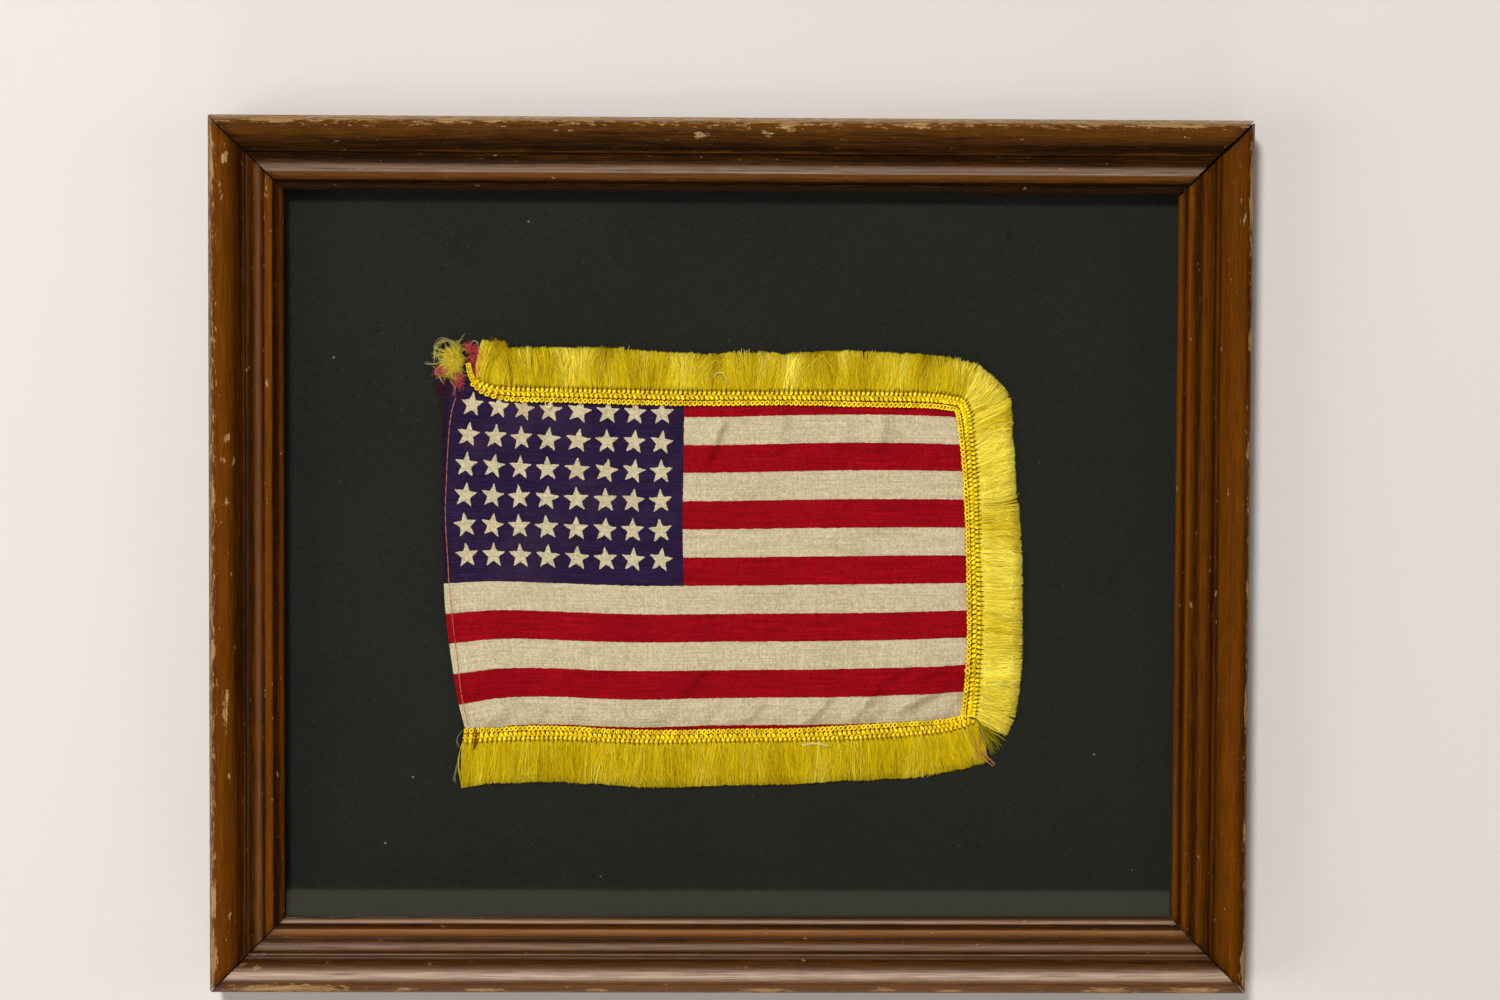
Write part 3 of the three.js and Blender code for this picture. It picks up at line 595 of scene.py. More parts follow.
# Printed cotton: red and cream stripes, a dark blue field with cream stars, uneven threads and stains.
STRIPE_STEP = 0.0799
STRIPE_START = -0.002
FIELD_EDGE = 0.4685
FIELD_STRIPES = 7
STAR_FIRST = (0.048, 0.0689)
STAR_STEP = (0.0539, 0.0831)
STAR_COLUMNS = 8
STAR_ROWS = 6
STAR_RADIUS = 0.00365
STAR_WAIST = 0.415 * STAR_RADIUS
STAR_BLUNT = 0.92 * STAR_RADIUS
WEAVE_STEP = (0.0032, 0.0048)
INK_BLEED = (0.0036, 0.0055, 0)
CREAM_DARK = (0.45, 0.37, 0.23, 1)
CREAM_LIGHT = (0.59, 0.5, 0.32, 1)
RED_DARK = (0.21, 0.0006, 0.003, 1)
RED_LIGHT = (0.34, 0.002, 0.008, 1)
BLUE_DARK = (0.013, 0.0055, 0.026, 1)
BLUE_LIGHT = (0.028, 0.014, 0.052, 1)
HEM_SHADE = (0.012, 0.005, 0.014, 1)
FOLD_SHADE_TINT = (0.4, 0.32, 0.24, 1)


def vector_calc(tree, operation, *values):
    node = add_node(tree, "ShaderNodeVectorMath", dict(enumerate(values)), operation=operation)
    return node.outputs[0]


def tinted(tree, colour, mask, strength, tint):
    """A colour with a share of a tint where the mask is."""
    return blend(tree, calc(tree, "MULTIPLY", mask, strength), colour, tint)


printed_cotton, tree, shader = new_material("printed_cotton")
flat = add_node(tree, "ShaderNodeUVMap", uv_map="print").outputs["UV"]
where = add_node(tree, "ShaderNodeTexCoord").outputs["Object"]
bleed = add_node(tree, "ShaderNodeTexNoise", {"Vector": where, "Scale": 900.0, "Detail": 2.0})
bleed = vector_calc(tree, "SUBTRACT", bleed.outputs["Color"], (0.5, 0.5, 0.5))
inked = vector_calc(tree, "ADD", flat, vector_calc(tree, "MULTIPLY", bleed, INK_BLEED))
separate = add_node(tree, "ShaderNodeSeparateXYZ", {0: inked})
v = separate.outputs[1]
# The upper hoist corner has been pulled, which draws the first stars towards the middle.
pulled = calc(tree, "MULTIPLY", ramp(tree, v, 0.22, 0.02), ramp(tree, separate.outputs[0], 0.3, 0.0))
u = calc(tree, "MULTIPLY_ADD", pulled, -0.008, separate.outputs[0])
stripe = calc(tree, "DIVIDE", calc(tree, "SUBTRACT", v, STRIPE_START), STRIPE_STEP)
odd = calc(tree, "MODULO", calc(tree, "FLOOR", stripe), 2.0)
is_cream = calc(tree, "GREATER_THAN", odd, 0.5)
in_field = calc(
    tree, "MULTIPLY",
    calc(tree, "LESS_THAN", u, FIELD_EDGE),
    calc(tree, "LESS_THAN", stripe, float(FIELD_STRIPES)),
)


def star_cell(tree, value, first, step, count):
    """Offset from the middle of the nearest star's cell, as a share of the cell, and the cell's number."""
    spot = calc(tree, "DIVIDE", calc(tree, "SUBTRACT", value, first), step)
    number = calc(tree, "MINIMUM", calc(tree, "MAXIMUM", calc(tree, "ROUND", spot), 0.0), count - 1.0)
    return calc(tree, "SUBTRACT", spot, number), number


def length_of(tree, x, y):
    return calc(tree, "SQRT", calc(tree, "ADD", calc(tree, "MULTIPLY", x, x), calc(tree, "MULTIPLY", y, y)))


# A star is folded into one tenth, where its side is one straight line; its points are printed blunt.
star_u, star_column = star_cell(tree, u, STAR_FIRST[0], STAR_STEP[0], STAR_COLUMNS)
star_v, star_row = star_cell(tree, v, STAR_FIRST[1], STAR_STEP[1], STAR_ROWS)
star_number = add_node(tree, "ShaderNodeCombineXYZ", {0: star_column, 1: star_row}).outputs[0]
wobble = add_node(tree, "ShaderNodeTexWhiteNoise", {"Vector": star_number}).outputs["Value"]
star_x = calc(tree, "MULTIPLY", star_u, STAR_STEP[0] * CLOTH_WIDTH * MM)
star_y = calc(tree, "MULTIPLY", star_v, STAR_STEP[1] * -CLOTH_HEIGHT * MM)
star_reach = length_of(tree, star_x, star_y)
star_turn = calc(tree, "ARCTAN2", star_x, star_y)
star_turn = calc(tree, "MULTIPLY_ADD", calc(tree, "SUBTRACT", wobble, 0.6), 0.3, star_turn)
star_turn = calc(tree, "PINGPONG", star_turn, np.pi / 5)
tip = np.array([STAR_RADIUS, 0])
waist = STAR_WAIST * np.array([np.cos(np.pi / 5), np.sin(np.pi / 5)])
out = np.array([waist[1] - tip[1], tip[0] - waist[0]]) / np.linalg.norm(waist - tip)
folded_x = calc(tree, "MULTIPLY", star_reach, calc(tree, "COSINE", star_turn))
folded_y = calc(tree, "MULTIPLY", star_reach, calc(tree, "SINE", star_turn))
beyond = calc(tree, "MULTIPLY", folded_x, float(out[0]))
beyond = calc(tree, "MULTIPLY_ADD", folded_y, float(out[1]), beyond)
in_star = calc(
    tree, "MULTIPLY",
    calc(tree, "LESS_THAN", beyond, float(out.dot(tip))),
    calc(tree, "LESS_THAN", star_reach, STAR_BLUNT),
)

warp = calc(tree, "SINE", calc(tree, "MULTIPLY", separate.outputs[0], 2 * np.pi / WEAVE_STEP[0]))
weft = calc(tree, "SINE", calc(tree, "MULTIPLY", separate.outputs[1], 2 * np.pi / WEAVE_STEP[1]))
weave = calc(tree, "MULTIPLY", warp, weft)
across_slubs = noise(tree, stretched(tree, flat, (9, 260, 1)), 1.0, 3.0, 0.6)
down_slubs = noise(tree, stretched(tree, flat, (330, 7, 1)), 1.0, 3.0, 0.6)
stains = noise(tree, where, 45.0, 4.0)
cream = blend(tree, ramp(tree, across_slubs, 0.3, 0.7), CREAM_DARK, CREAM_LIGHT)
cream = tinted(tree, cream, ramp(tree, down_slubs, 0.5, 0.7), 0.45, (0.66, 0.58, 0.4, 1))
cream = tinted(tree, cream, ramp(tree, down_slubs, 0.46, 0.28), 0.5, (0.38, 0.33, 0.22, 1))
cream = tinted(tree, cream, ramp(tree, across_slubs, 0.4, 0.27), 0.35, (0.46, 0.27, 0.2, 1))
cream = tinted(tree, cream, ramp(tree, stains, 0.56, 0.75), 0.3, (0.38, 0.28, 0.15, 1))
red = blend(tree, ramp(tree, across_slubs, 0.3, 0.75), RED_DARK, RED_LIGHT)
red = tinted(tree, red, ramp(tree, down_slubs, 0.55, 0.8), 0.35, (0.4, 0.02, 0.028, 1))
red = tinted(tree, red, ramp(tree, stains, 0.5, 0.3), 0.3, (0.15, 0.0005, 0.004, 1))
blue = blend(tree, ramp(tree, across_slubs, 0.3, 0.75), BLUE_DARK, BLUE_LIGHT)
blue = tinted(tree, blue, ramp(tree, stains, 0.5, 0.7), 0.6, (0.036, 0.018, 0.044, 1))
cloth_colour = blend(tree, is_cream, red, cream)
field_colour = blend(tree, in_star, blue, cream)
cloth_colour = blend(tree, in_field, cloth_colour, field_colour)
hem_shade = calc(tree, "MULTIPLY", ramp(tree, separate.outputs[0], 0.0115, 0.0085), in_field)
cloth_colour = tinted(tree, cloth_colour, hem_shade, 0.7, HEM_SHADE)
# Painted shade on the folds, tinted brown, from the fold attribute.
fold_shade_mask = add_node(tree, "ShaderNodeAttribute", attribute_name="fold_shade").outputs["Fac"]
fold_shaded_colour = blend(tree, 1.0, cloth_colour, FOLD_SHADE_TINT, "MULTIPLY")
cloth_colour = tinted(tree, cloth_colour, fold_shade_mask, 0.48, fold_shaded_colour)
crossing = vector_calc(tree, "MULTIPLY", flat, (1 / WEAVE_STEP[0], 1 / WEAVE_STEP[1], 0))
crossing = vector_calc(tree, "FLOOR", crossing)
uneven = add_node(tree, "ShaderNodeTexWhiteNoise", {"Vector": crossing}).outputs["Value"]
thread_shade = calc(tree, "MULTIPLY_ADD", uneven, 0.34, 0.83)
thread_shade = calc(tree, "MULTIPLY_ADD", weave, 0.18, thread_shade)
tree.links.new(shaded(tree, cloth_colour, thread_shade), shader.inputs["Base Color"])
slubs = calc(tree, "ADD", across_slubs, down_slubs)
raise_surface(tree, shader, calc(tree, "MULTIPLY_ADD", weave, 0.5, slubs), 0.5, 0.00025)
shader.inputs["Roughness"].default_value = 0.9
shader.inputs["Specular IOR Level"].default_value = 0.03
cloth.data.materials.append(printed_cotton)
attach(cloth, "root")
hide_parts("flag_cloth")

# Hem stitching
# One row of machine stitches in orange-brown cotton thread.
# It runs along the hoist and holds down the turned hem.
STITCH_LINE = [
    (0.022, 0.053), (0.0165, 0.09), (0.0136, 0.13), (0.0115, 0.2), (0.0101, 0.28), (0.0092, 0.35),
    (0.0092, 0.415), (0.0098, 0.48), (0.0103, 0.55), (0.0125, 0.62), (0.0129, 0.68), (0.0125, 0.76),
    (0.0105, 0.82), (0.009, 0.9), (0.0085, 0.935),
]
STITCH_COUNT = 34
STITCH_THREAD = 0.12
STITCH_DYE = (0.5, 0.135, 0.055)
STITCH_STEPS = 7


def tubes(paths, radii, sides, closed=False):
    """Points and faces of many threads: each path is a row of points, with one radius at each point."""
    paths = np.asarray(paths, dtype=float)
    count, steps = paths.shape[:2]
    if closed:
        forward = np.roll(paths, -1, axis=1) - np.roll(paths, 1, axis=1)
    else:
        forward = np.gradient(paths, axis=1)
    forward /= np.linalg.norm(forward, axis=2, keepdims=True) + 1e-9
    side = np.cross(forward, (0, 0, 1))
    side /= np.linalg.norm(side, axis=2, keepdims=True) + 1e-9
    lift = np.cross(side, forward)
    turns = 2 * np.pi * np.arange(sides) / sides + np.pi / 2
    ring = np.cos(turns)[:, None] * side[:, :, None, :] + np.sin(turns)[:, None] * lift[:, :, None, :]
    radii = np.broadcast_to(np.asarray(radii, dtype=float), (count, steps))
    points = paths[:, :, None, :] + radii[:, :, None, None] * ring
    number = np.arange(count * steps * sides).reshape(count, steps, sides)
    after = np.roll(number, -1, axis=1) if closed else number[:, 1:]
    before = number if closed else number[:, :-1]
    quads = np.stack([before, after, np.roll(after, -1, axis=2), np.roll(before, -1, axis=2)], axis=-1)
    caps = [np.zeros((0, 3), dtype=int)]
    if not closed:
        for corner in range(1, sides - 1):
            caps.append(number[:, 0, [0, corner, corner + 1]])
            caps.append(number[:, -1, [0, corner + 1, corner]])
    return points.reshape(-1, 3), quads.reshape(-1, 4), np.concatenate(caps)


def joined(parts):
    """One set of points and faces from several, with a colour for every point."""
    points, quads, triangles, colours = [], [], [], []
    offset = 0
    for (part_points, part_quads, part_triangles), colour in parts:
        points.append(part_points)
        quads.append(part_quads + offset)
        triangles.append(part_triangles + offset)
        colours.append(np.repeat(colour, len(part_points) // len(colour), axis=0))
        offset += len(part_points)
    return np.vstack(points), np.vstack(quads), np.vstack(triangles), np.vstack(colours)


def thread_piece(name, parts, material):
    points, quads, triangles, colours = joined(parts)
    piece = mesh_piece(name, points, quads, triangles)
    set_attribute(piece, "dye", "FLOAT_COLOR", np.hstack([colours, np.ones((len(colours), 1))]))
    piece.data.materials.append(material)
    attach(piece, "root")
    return piece


# Twisted thread: its dye with painted shade in the hollows of a fine twist, lighter on the raised parts.
twisted_thread, twist_in, twist_out = new_group(
    "twisted_thread",
    [("Vector", "NodeSocketVector"), ("Dye", "NodeSocketColor")],
    [("Color", "NodeSocketColor"), ("Height", "NodeSocketFloat")],
)
twist = noise(twisted_thread, twist_in.outputs["Vector"], 2600.0, 2.0)
twist_shade = calc(twisted_thread, "MULTIPLY_ADD", twist, 0.5, 0.75)
thread_colour = shaded(twisted_thread, twist_in.outputs["Dye"], twist_shade)
twisted_thread.links.new(thread_colour, twist_out.inputs["Color"])
twisted_thread.links.new(twist, twist_out.inputs["Height"])


def spun_thread(name, roughness, gloss):
    """Dyed thread, with each thread's own shade kept on its points."""
    material, tree, shader = new_material(name)
    where = add_node(tree, "ShaderNodeTexCoord").outputs["Object"]
    dye = add_node(tree, "ShaderNodeAttribute", attribute_name="dye").outputs["Color"]
    thread = add_node(tree, "ShaderNodeGroup", {"Vector": where, "Dye": dye}, node_tree=twisted_thread)
    tree.links.new(thread.outputs["Color"], shader.inputs["Base Color"])
    raise_surface(tree, shader, thread.outputs["Height"], 0.3, 0.0001)
    shader.inputs["Roughness"].default_value = roughness
    shader.inputs["Specular IOR Level"].default_value = gloss
    return material


stitch_cotton = spun_thread("stitch_cotton", 0.7, 0.2)
ends = np.linspace(0, 1, STITCH_COUNT + 1)
stitch_paths = []
for start, end in zip(ends[:-1], ends[1:]):
    shares = start + (end - start) * np.linspace(0.04, 0.96, STITCH_STEPS)
    line = along_curve(STITCH_LINE, shares)
    line_spots = cloth_places(line[:, 0], line[:, 1])
    top = cloth_height(line[:, 0], line[:, 1], line_spots[:, 0], line_spots[:, 1]) + SHEET_THICKNESS / 2
    arch = np.sin(np.pi * np.linspace(0, 1, STITCH_STEPS))
    stitch_paths.append(np.column_stack([line_spots, top + STITCH_THREAD * (2 * arch - 1)]))
shade = np.random.default_rng(8).uniform(0.7, 1.2, (STITCH_COUNT, 1))
stitches = thread_piece(
    "hem_stitching", [(tubes(stitch_paths, STITCH_THREAD, 6), shade * STITCH_DYE)], stitch_cotton,
)

# Fringe
# Gold rayon fringe: a crocheted header of rings and slanted cords, and a skirt of cut threads.
# The header is sewn on along the edge and eased round the fly corners, where the skirt fans out.
TOP_STATIONS = [
    # header's inner edge, header's outer edge, threads' ends
    ((-72.2, 47.2), (-70.2, 48.4), (-68.9, 59.5)), ((-67.9, 43.9), (-66, 46.8), (-64.5, 59)),
    ((-61, 42.2), (-60.5, 46.4), (-60.6, 57.2)), ((-47.2, 42), (-47.2, 46.1), (-46.8, 57.4)),
    ((-30.7, 41.5), (-30.7, 45.9), (-30.2, 57)), ((-14.1, 41.2), (-14.2, 45.6), (-13.1, 56)),
    ((2.4, 41.4), (2.4, 45.5), (3.5, 55.9)), ((19, 41.5), (19, 45.6), (20.1, 56.3)),
    ((35.6, 41.1), (35.5, 45.6), (36.7, 56.5)), ((49.4, 40.9), (49.9, 45.5), (51.6, 56.1)),
    ((56.3, 40.7), (57.7, 45), (59.9, 54.7)), ((61.8, 40), (64.4, 44), (69.2, 52.8)),
]
FLY_STATIONS = [
    ((61.8, 40), (64.4, 44), (69.2, 52.8)), ((62.4, 36.4), (66.3, 39.8), (75.5, 46.7)),
    ((63, 31.7), (67, 34.2), (77.5, 39)), ((63.8, 24), (67.8, 26.2), (78.4, 29.8)),
    ((64.4, 15.7), (68.4, 17.1), (79.1, 19.6)), ((64.7, 10.1), (68.6, 11.3), (80.1, 11.6)),
    ((65.1, -1), (69, -0.9), (80.9, -1.5)), ((65.3, -12.1), (69.5, -12), (81.1, -12.4)),
    ((65.4, -23.2), (69.6, -23.2), (81.2, -23.5)), ((64.9, -34.3), (69.2, -34.3), (80.8, -34.7)),
    ((64.1, -42.1), (68.6, -41.5), (79.3, -43.9)), ((63.9, -44), (68.3, -44.9), (77.4, -49.2)),
]
FOOT_STATIONS = [
    ((64.8, -44.1), (68.6, -46), (71.4, -57)), ((58.3, -45.2), (61.1, -48.5), (63.6, -59.3)),
    ((47.2, -45.9), (48.6, -50), (49.6, -61.6)), ((33.3, -46.8), (33.9, -51), (34.3, -62.4)),
    ((16.7, -47.8), (16.7, -51.4), (16.8, -63.6)), ((0, -48), (0.1, -51.6), (-0.1, -63.9)),
    ((-16.6, -48.4), (-16.6, -52.1), (-16.8, -64.4)), ((-30.4, -48.2), (-30.4, -52), (-30.7, -64)),
    ((-44.3, -47.4), (-44.3, -51.3), (-44.6, -63.1)), ((-56.7, -47.2), (-57.3, -51.4), (-58.2, -63.2)),
    ((-65, -47.8), (-65.9, -51.7), (-67.1, -63.8)), ((-73.6, -47.9), (-74, -52.3), (-74.6, -64.8)),
]
HEADER_LOW = 5.35
SKIRT_LOW = 4.5
BUNDLE_STEP = 1.33
BUNDLE_CLUMPS = 4
CLUMP_THREADS = 7
LOOP_STEP = 2.65
LINING_STEP = 0.15
GOLD_DARK = np.array([0.32, 0.205, 0.0005])
GOLD = np.array([0.635, 0.46, 0.001])
GOLD_PALE = np.array([0.95, 0.83, 0.125])
HEADER_GOLD = np.array([1.0, 0.71, 0.012])
HEADER_SHADE = np.array([[0.34, 0.18, 0.004]])
SLIT_SHADE = np.array([[0.12, 0.055, 0.002]])
HEADER_STRIPS = (0.17, 0.28, 0.48, 0.68, 0.9)
STRIP_THICKNESS = 0.5
ZIGZAG_CORD = 0.2
ZIGZAG_STEPS = 840
CURVE_STEPS = 801
SKIRT_TONE = 0.4
STRAY_SHARE = 0.03
SHORT_SHARE = 0.25


def gold_shades(tone):
    """Thread colours from dark gold at 0 to pale straw at 1."""
    tone = np.clip(np.ravel(tone), 0, 1)[:, None]
    low = GOLD_DARK + (GOLD - GOLD_DARK) * np.clip(tone * 2, 0, 1)
    return low + (GOLD_PALE - GOLD) * np.clip(tone * 2 - 1, 0, 1)


def even_places(stations):
    """Turns even shares of a side's length into shares of its stations, and gives the length."""
    fine = np.linspace(0, 1, CURVE_STEPS)
    steps = np.zeros(CURVE_STEPS)
    for column in (1, 2):
        line = along_curve([station[column] for station in stations], fine)
        steps[1:] += np.linalg.norm(np.diff(line, axis=0), axis=1) / 2
    run = np.cumsum(steps)
    return lambda shares: np.interp(np.asarray(shares) * run[-1], run, fine), run[-1]


def header_spots(stations, places, across):
    """Flat places on the header: across is 0 at its inner edge and 1 at its outer edge."""
    inner = along_curve([station[0] for station in stations], places)
    outer = along_curve([station[1] for station in stations], places)
    return inner + (outer - inner) * np.asarray(across)[..., None]


def header_loops(stations, placing, count, across, half_along, half_across, height, cord, tilt, rng):
    """A row of looped cord: small rings side by side, each tipped up over the next."""
    places = placing((np.arange(count) + 0.5) / count)
    level = np.full(count, across)
    middle = header_spots(stations, places, level)
    forward = header_spots(stations, np.minimum(places + 0.004, 1), level)
    forward -= header_spots(stations, np.maximum(places - 0.004, 0), level)
    forward /= np.linalg.norm(forward, axis=1, keepdims=True)
    sideways = np.column_stack([-forward[:, 1], forward[:, 0]])
    turn = rng.normal(tilt, 0.14, (count, 1))
    long_way = half_along * (forward * np.cos(turn) + sideways * np.sin(turn))
    short_way = half_across * (sideways * np.cos(turn) - forward * np.sin(turn))
    spin = np.linspace(0, 2 * np.pi, 10, endpoint=False)
    size = rng.normal(1, 0.08, (count, 1, 1))
    ring = np.cos(spin)[:, None] * long_way[:, None] + np.sin(spin)[:, None] * short_way[:, None]
    rise = height + 0.34 * half_along * np.cos(spin) + rng.normal(0, 0.06, (count, 1))
    shade = rng.uniform(0.7, 1.2, (count, 1)) * HEADER_GOLD
    return tubes(np.dstack([middle[:, None] + size * ring, rise]), cord, 4, closed=True), shade


def header_line(stations, across, height, thickness, colour):
    """One cord or flat strip along the header; across and height may change along it."""
    steps = max(np.size(across), 160)
    places = np.linspace(0, 1, steps)
    spots = header_spots(stations, places, np.broadcast_to(across, steps))
    path = np.column_stack([spots, np.broadcast_to(height, steps)])
    return tubes(path[None], thickness, 4), colour


def ruffles(rng, size):
    """Sideways drift that neighbouring threads share, so that they swirl together."""
    waves = [(length, rng.uniform(0, 2 * np.pi), rng.uniform(-2.5, 2.5)) for length in (4.5, 8, 15, 29)]

    def drift(along, down):
        total = 0
        for length, start, twist in waves:
            total = total + np.sqrt(length / 15) * np.sin(2 * np.pi * along / length + start + twist * down)
        return size * total * down
    return drift


def skirt_paths(stations, placing, root_share, tip_share, root_across, reach, shares):
    """Flat paths from the header to the threads' ends, and the sideways direction of each."""
    roots = header_spots(stations, placing(root_share), root_across)
    edge = header_spots(stations, placing(tip_share), np.ones(len(reach)))
    tips = along_curve([station[2] for station in stations], placing(tip_share))
    run = edge + (tips - edge) * reach[:, None] - roots
    sideways = np.column_stack([-run[:, 1], run[:, 0]]) / np.linalg.norm(run, axis=1, keepdims=True)
    return roots[:, None] + run[:, None] * shares[:, None], sideways


def fringe_side(name, node, stations, seed, paler, ruffle, loop_tilt, partings):
    """One side's fringe; each parting has its place, how far it opens and how wide it reaches."""
    rng = np.random.default_rng(seed)
    placing, run = even_places(stations)
    drift = ruffles(rng, ruffle)
    patches = ruffles(rng, 0.13 * ruffle)

    lining = int(run / LINING_STEP)
    share = (np.arange(lining) + 0.5) / lining
    shares = np.array([0, 0.3, 0.65, 1])
    reach = np.minimum(rng.normal(0.985, 0.02, lining), 1.01)
    flat_path, sideways = skirt_paths(stations, placing, share, share, np.full(lining, 1.05), reach, shares)
    sway = drift((share * run)[:, None], shares) + rng.normal(0, 0.1, (lining, 1)) * shares
    flat_path = flat_path + sideways[:, None] * sway[..., None]
    level = SKIRT_LOW + 0.5 + rng.uniform(0, 0.3, (lining, 1)) + np.array([0.5, 0.4, 0.15, 0])
    lining_tubes = tubes(np.dstack([flat_path, level]), np.array([0.19, 0.21, 0.21, 0.17]), 3)
    lining_tone = rng.normal(SKIRT_TONE + paler, 0.08, lining)

    bundles = int(run / BUNDLE_STEP)
    clumps = bundles * BUNDLE_CLUMPS
    clump = np.repeat(np.arange(clumps), CLUMP_THREADS)
    middle = ((np.arange(clumps) + 0.5) / clumps)[clump]
    total = len(clump)
    lean = np.zeros(total)
    for spot, strength, width in partings:
        lean += strength * np.sign(middle - spot) * np.exp(-np.abs(middle - spot) / width)
        # The lining is painted darker where a parting opens: painted shade in the gap.
        lining_tone -= 0.6 * np.exp(-((share - spot) / (0.5 * strength)) ** 2)
    stray = (rng.random(clumps) < STRAY_SHARE)[clump] | (rng.random(total) < STRAY_SHARE)
    root_share = np.clip(middle + rng.uniform(-0.16, 0.16, total) / bundles, 0, 1)
    own_spread = np.where(stray, rng.normal(0, 0.02, total), rng.normal(0, 0.55 / bundles, total))
    tip_share = np.clip(middle + lean + rng.normal(0, 0.85 / bundles, clumps)[clump] + own_spread, 0, 1)
    cut_line = np.interp(middle, np.linspace(0, 1, bundles // 3), rng.normal(0.98, 0.026, bundles // 3))
    reach = cut_line * rng.normal(1, 0.01, clumps)[clump] * np.minimum(rng.normal(1, 0.012, total), 1.02)
    reach = np.where(rng.random(total) < SHORT_SHARE, reach * rng.uniform(0.4, 0.97, total), reach)
    shares = np.array([0, 0.14, 0.34, 0.56, 0.78, 1])
    flat_path, sideways = skirt_paths(
        stations, placing, root_share, tip_share, rng.uniform(0.9, 1.02, total), reach, shares,
    )
    along = (middle * run)[:, None]
    bow = rng.normal(0, 0.4, clumps)[clump][:, None] + rng.normal(0, np.where(stray, 0.8, 0.06))[:, None]
    sway = drift(along, shares) + bow * np.sin(np.pi * shares)
    sway += rng.normal(0, 0.18, clumps)[clump][:, None] * np.sin(2 * np.pi * shares)
    flat_path = flat_path + sideways[:, None] * sway[..., None]
    layer = (0.75 * rng.random(clumps)[clump] + 0.25 * rng.random(total))[:, None]
    drop = smooth_step(shares, 0.02, 0.6)
    lie = SKIRT_LOW + 0.72 + 0.5 * layer + np.where(stray, 0.25, 0)[:, None]
    level = (HEADER_LOW + 0.5 + 0.3 * (layer - 0.5)) * (1 - drop) + lie * drop
    level += 0.3 * layer * np.sin(np.pi * np.clip(shares * 1.5, 0, 1))
    radii = rng.uniform(0.075, 0.1, (total, 1)) * np.array([1, 1.05, 1.1, 1.1, 1.05, 0.9])
    tone = SKIRT_TONE + paler + rng.normal(0, 0.055, clumps)[clump] + rng.normal(0, 0.035, total)
    # Lower threads are painted darker and higher ones lighter: painted shade under the threads above.
    tone = (tone + np.where(stray, 0.18, 0))[:, None] + 0.12 * (layer - 0.5)
    tone = tone + patches(along, 0.4 + shares) + 0.08 * smooth_step(shares, 0.7, 1)

    slits = np.arange(1, bundles) / bundles
    slit_top = header_spots(stations, placing(slits), np.full(bundles - 1, 0.94))
    slit_end = header_spots(stations, placing(slits), rng.uniform(1.1, 1.24, bundles - 1))
    slit_shares = np.array([0, 0.5, 1])[:, None]
    slit_flat = slit_top[:, None] * (1 - slit_shares) + slit_end[:, None] * slit_shares
    slit_level = np.broadcast_to(HEADER_LOW + np.array([1.0, 0.98, 0.8]), (bundles - 1, 3))
    slit_tubes = tubes(np.dstack([slit_flat, slit_level]), np.array([0.15, 0.18, 0.03]), 3)

    loops = int(run / LOOP_STEP)
    holes = placing((np.arange(loops) + 0.5) / loops)[:, None] + np.array([-0.2, 0, 0.2]) / run
    hole_flat = header_spots(stations, holes, np.full(holes.shape, 0.4))
    hole_level = np.broadcast_to(HEADER_LOW + np.array([1.1, 1.16, 1.1]), (loops, 3))
    hole_tubes = tubes(np.dstack([hole_flat, hole_level]), np.array([0.14, 0.3, 0.14]), 4)
    zigzag = 0.69 + 0.07 * np.sin(np.pi * loops * 4 * np.linspace(0, 1, ZIGZAG_STEPS))
    parts = [
        (lining_tubes, gold_shades(lining_tone)),
        (tubes(np.dstack([flat_path, level]), radii, 3), gold_shades(tone)),
        (slit_tubes, SLIT_SHADE),
        (hole_tubes, SLIT_SHADE),
    ]
    rows = [
        # loops, place across, half length, half width, lift, cord, tilt
        (bundles, 0.2, 0.44, 0.62, 0.9, 0.21, -loop_tilt),
        (2 * loops, 0.54, 0.2, 0.5, 0.9, 0.25, loop_tilt),
        (bundles, 0.86, 0.14, 0.36, 0.85, 0.29, -0.3),
    ]
    for count, across, half_along, half_across, lift, cord, tilt in rows:
        height = HEADER_LOW + lift
        row = header_loops(stations, placing, count, across, half_along, half_across, height, cord, tilt, rng)
        parts.append(row)
    parts.append(header_line(stations, zigzag, HEADER_LOW + 0.6, ZIGZAG_CORD, 0.8 * HEADER_GOLD[None]))
    for across in HEADER_STRIPS:
        parts.append(header_line(stations, across, HEADER_LOW + 0.05, STRIP_THICKNESS, HEADER_SHADE))
    piece = thread_piece(name, parts, gold_rayon)
    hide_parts(node)
    return piece


gold_rayon = spun_thread("gold_rayon", 0.45, 0.05)
fringes = [
    fringe_side(
        "fringe_top_threads", "fringe_top", TOP_STATIONS, seed=11, paler=0.02, ruffle=1,
        loop_tilt=0.55, partings=[(0.068, 0.014, 0.012)],
    ),
    fringe_side(
        "fringe_fly_threads", "fringe_fly", FLY_STATIONS, seed=12, paler=0.3, ruffle=0.5,
        loop_tilt=0.7,
        partings=[(0.36, 0.012, 0.03), (0.44, 0.008, 0.02), (0.88, 0.01, 0.02)],
    ),
    fringe_side(
        "fringe_foot_threads", "fringe_foot", FOOT_STATIONS, seed=13, paler=-0.02, ruffle=0.35,
        loop_tilt=0.55,
        partings=[
            (0.503, 0.006, 0.008), (0.834, 0.006, 0.008), (0.89, 0.005, 0.006), (0.985, 0.004, 0.006),
        ],
    ),
]

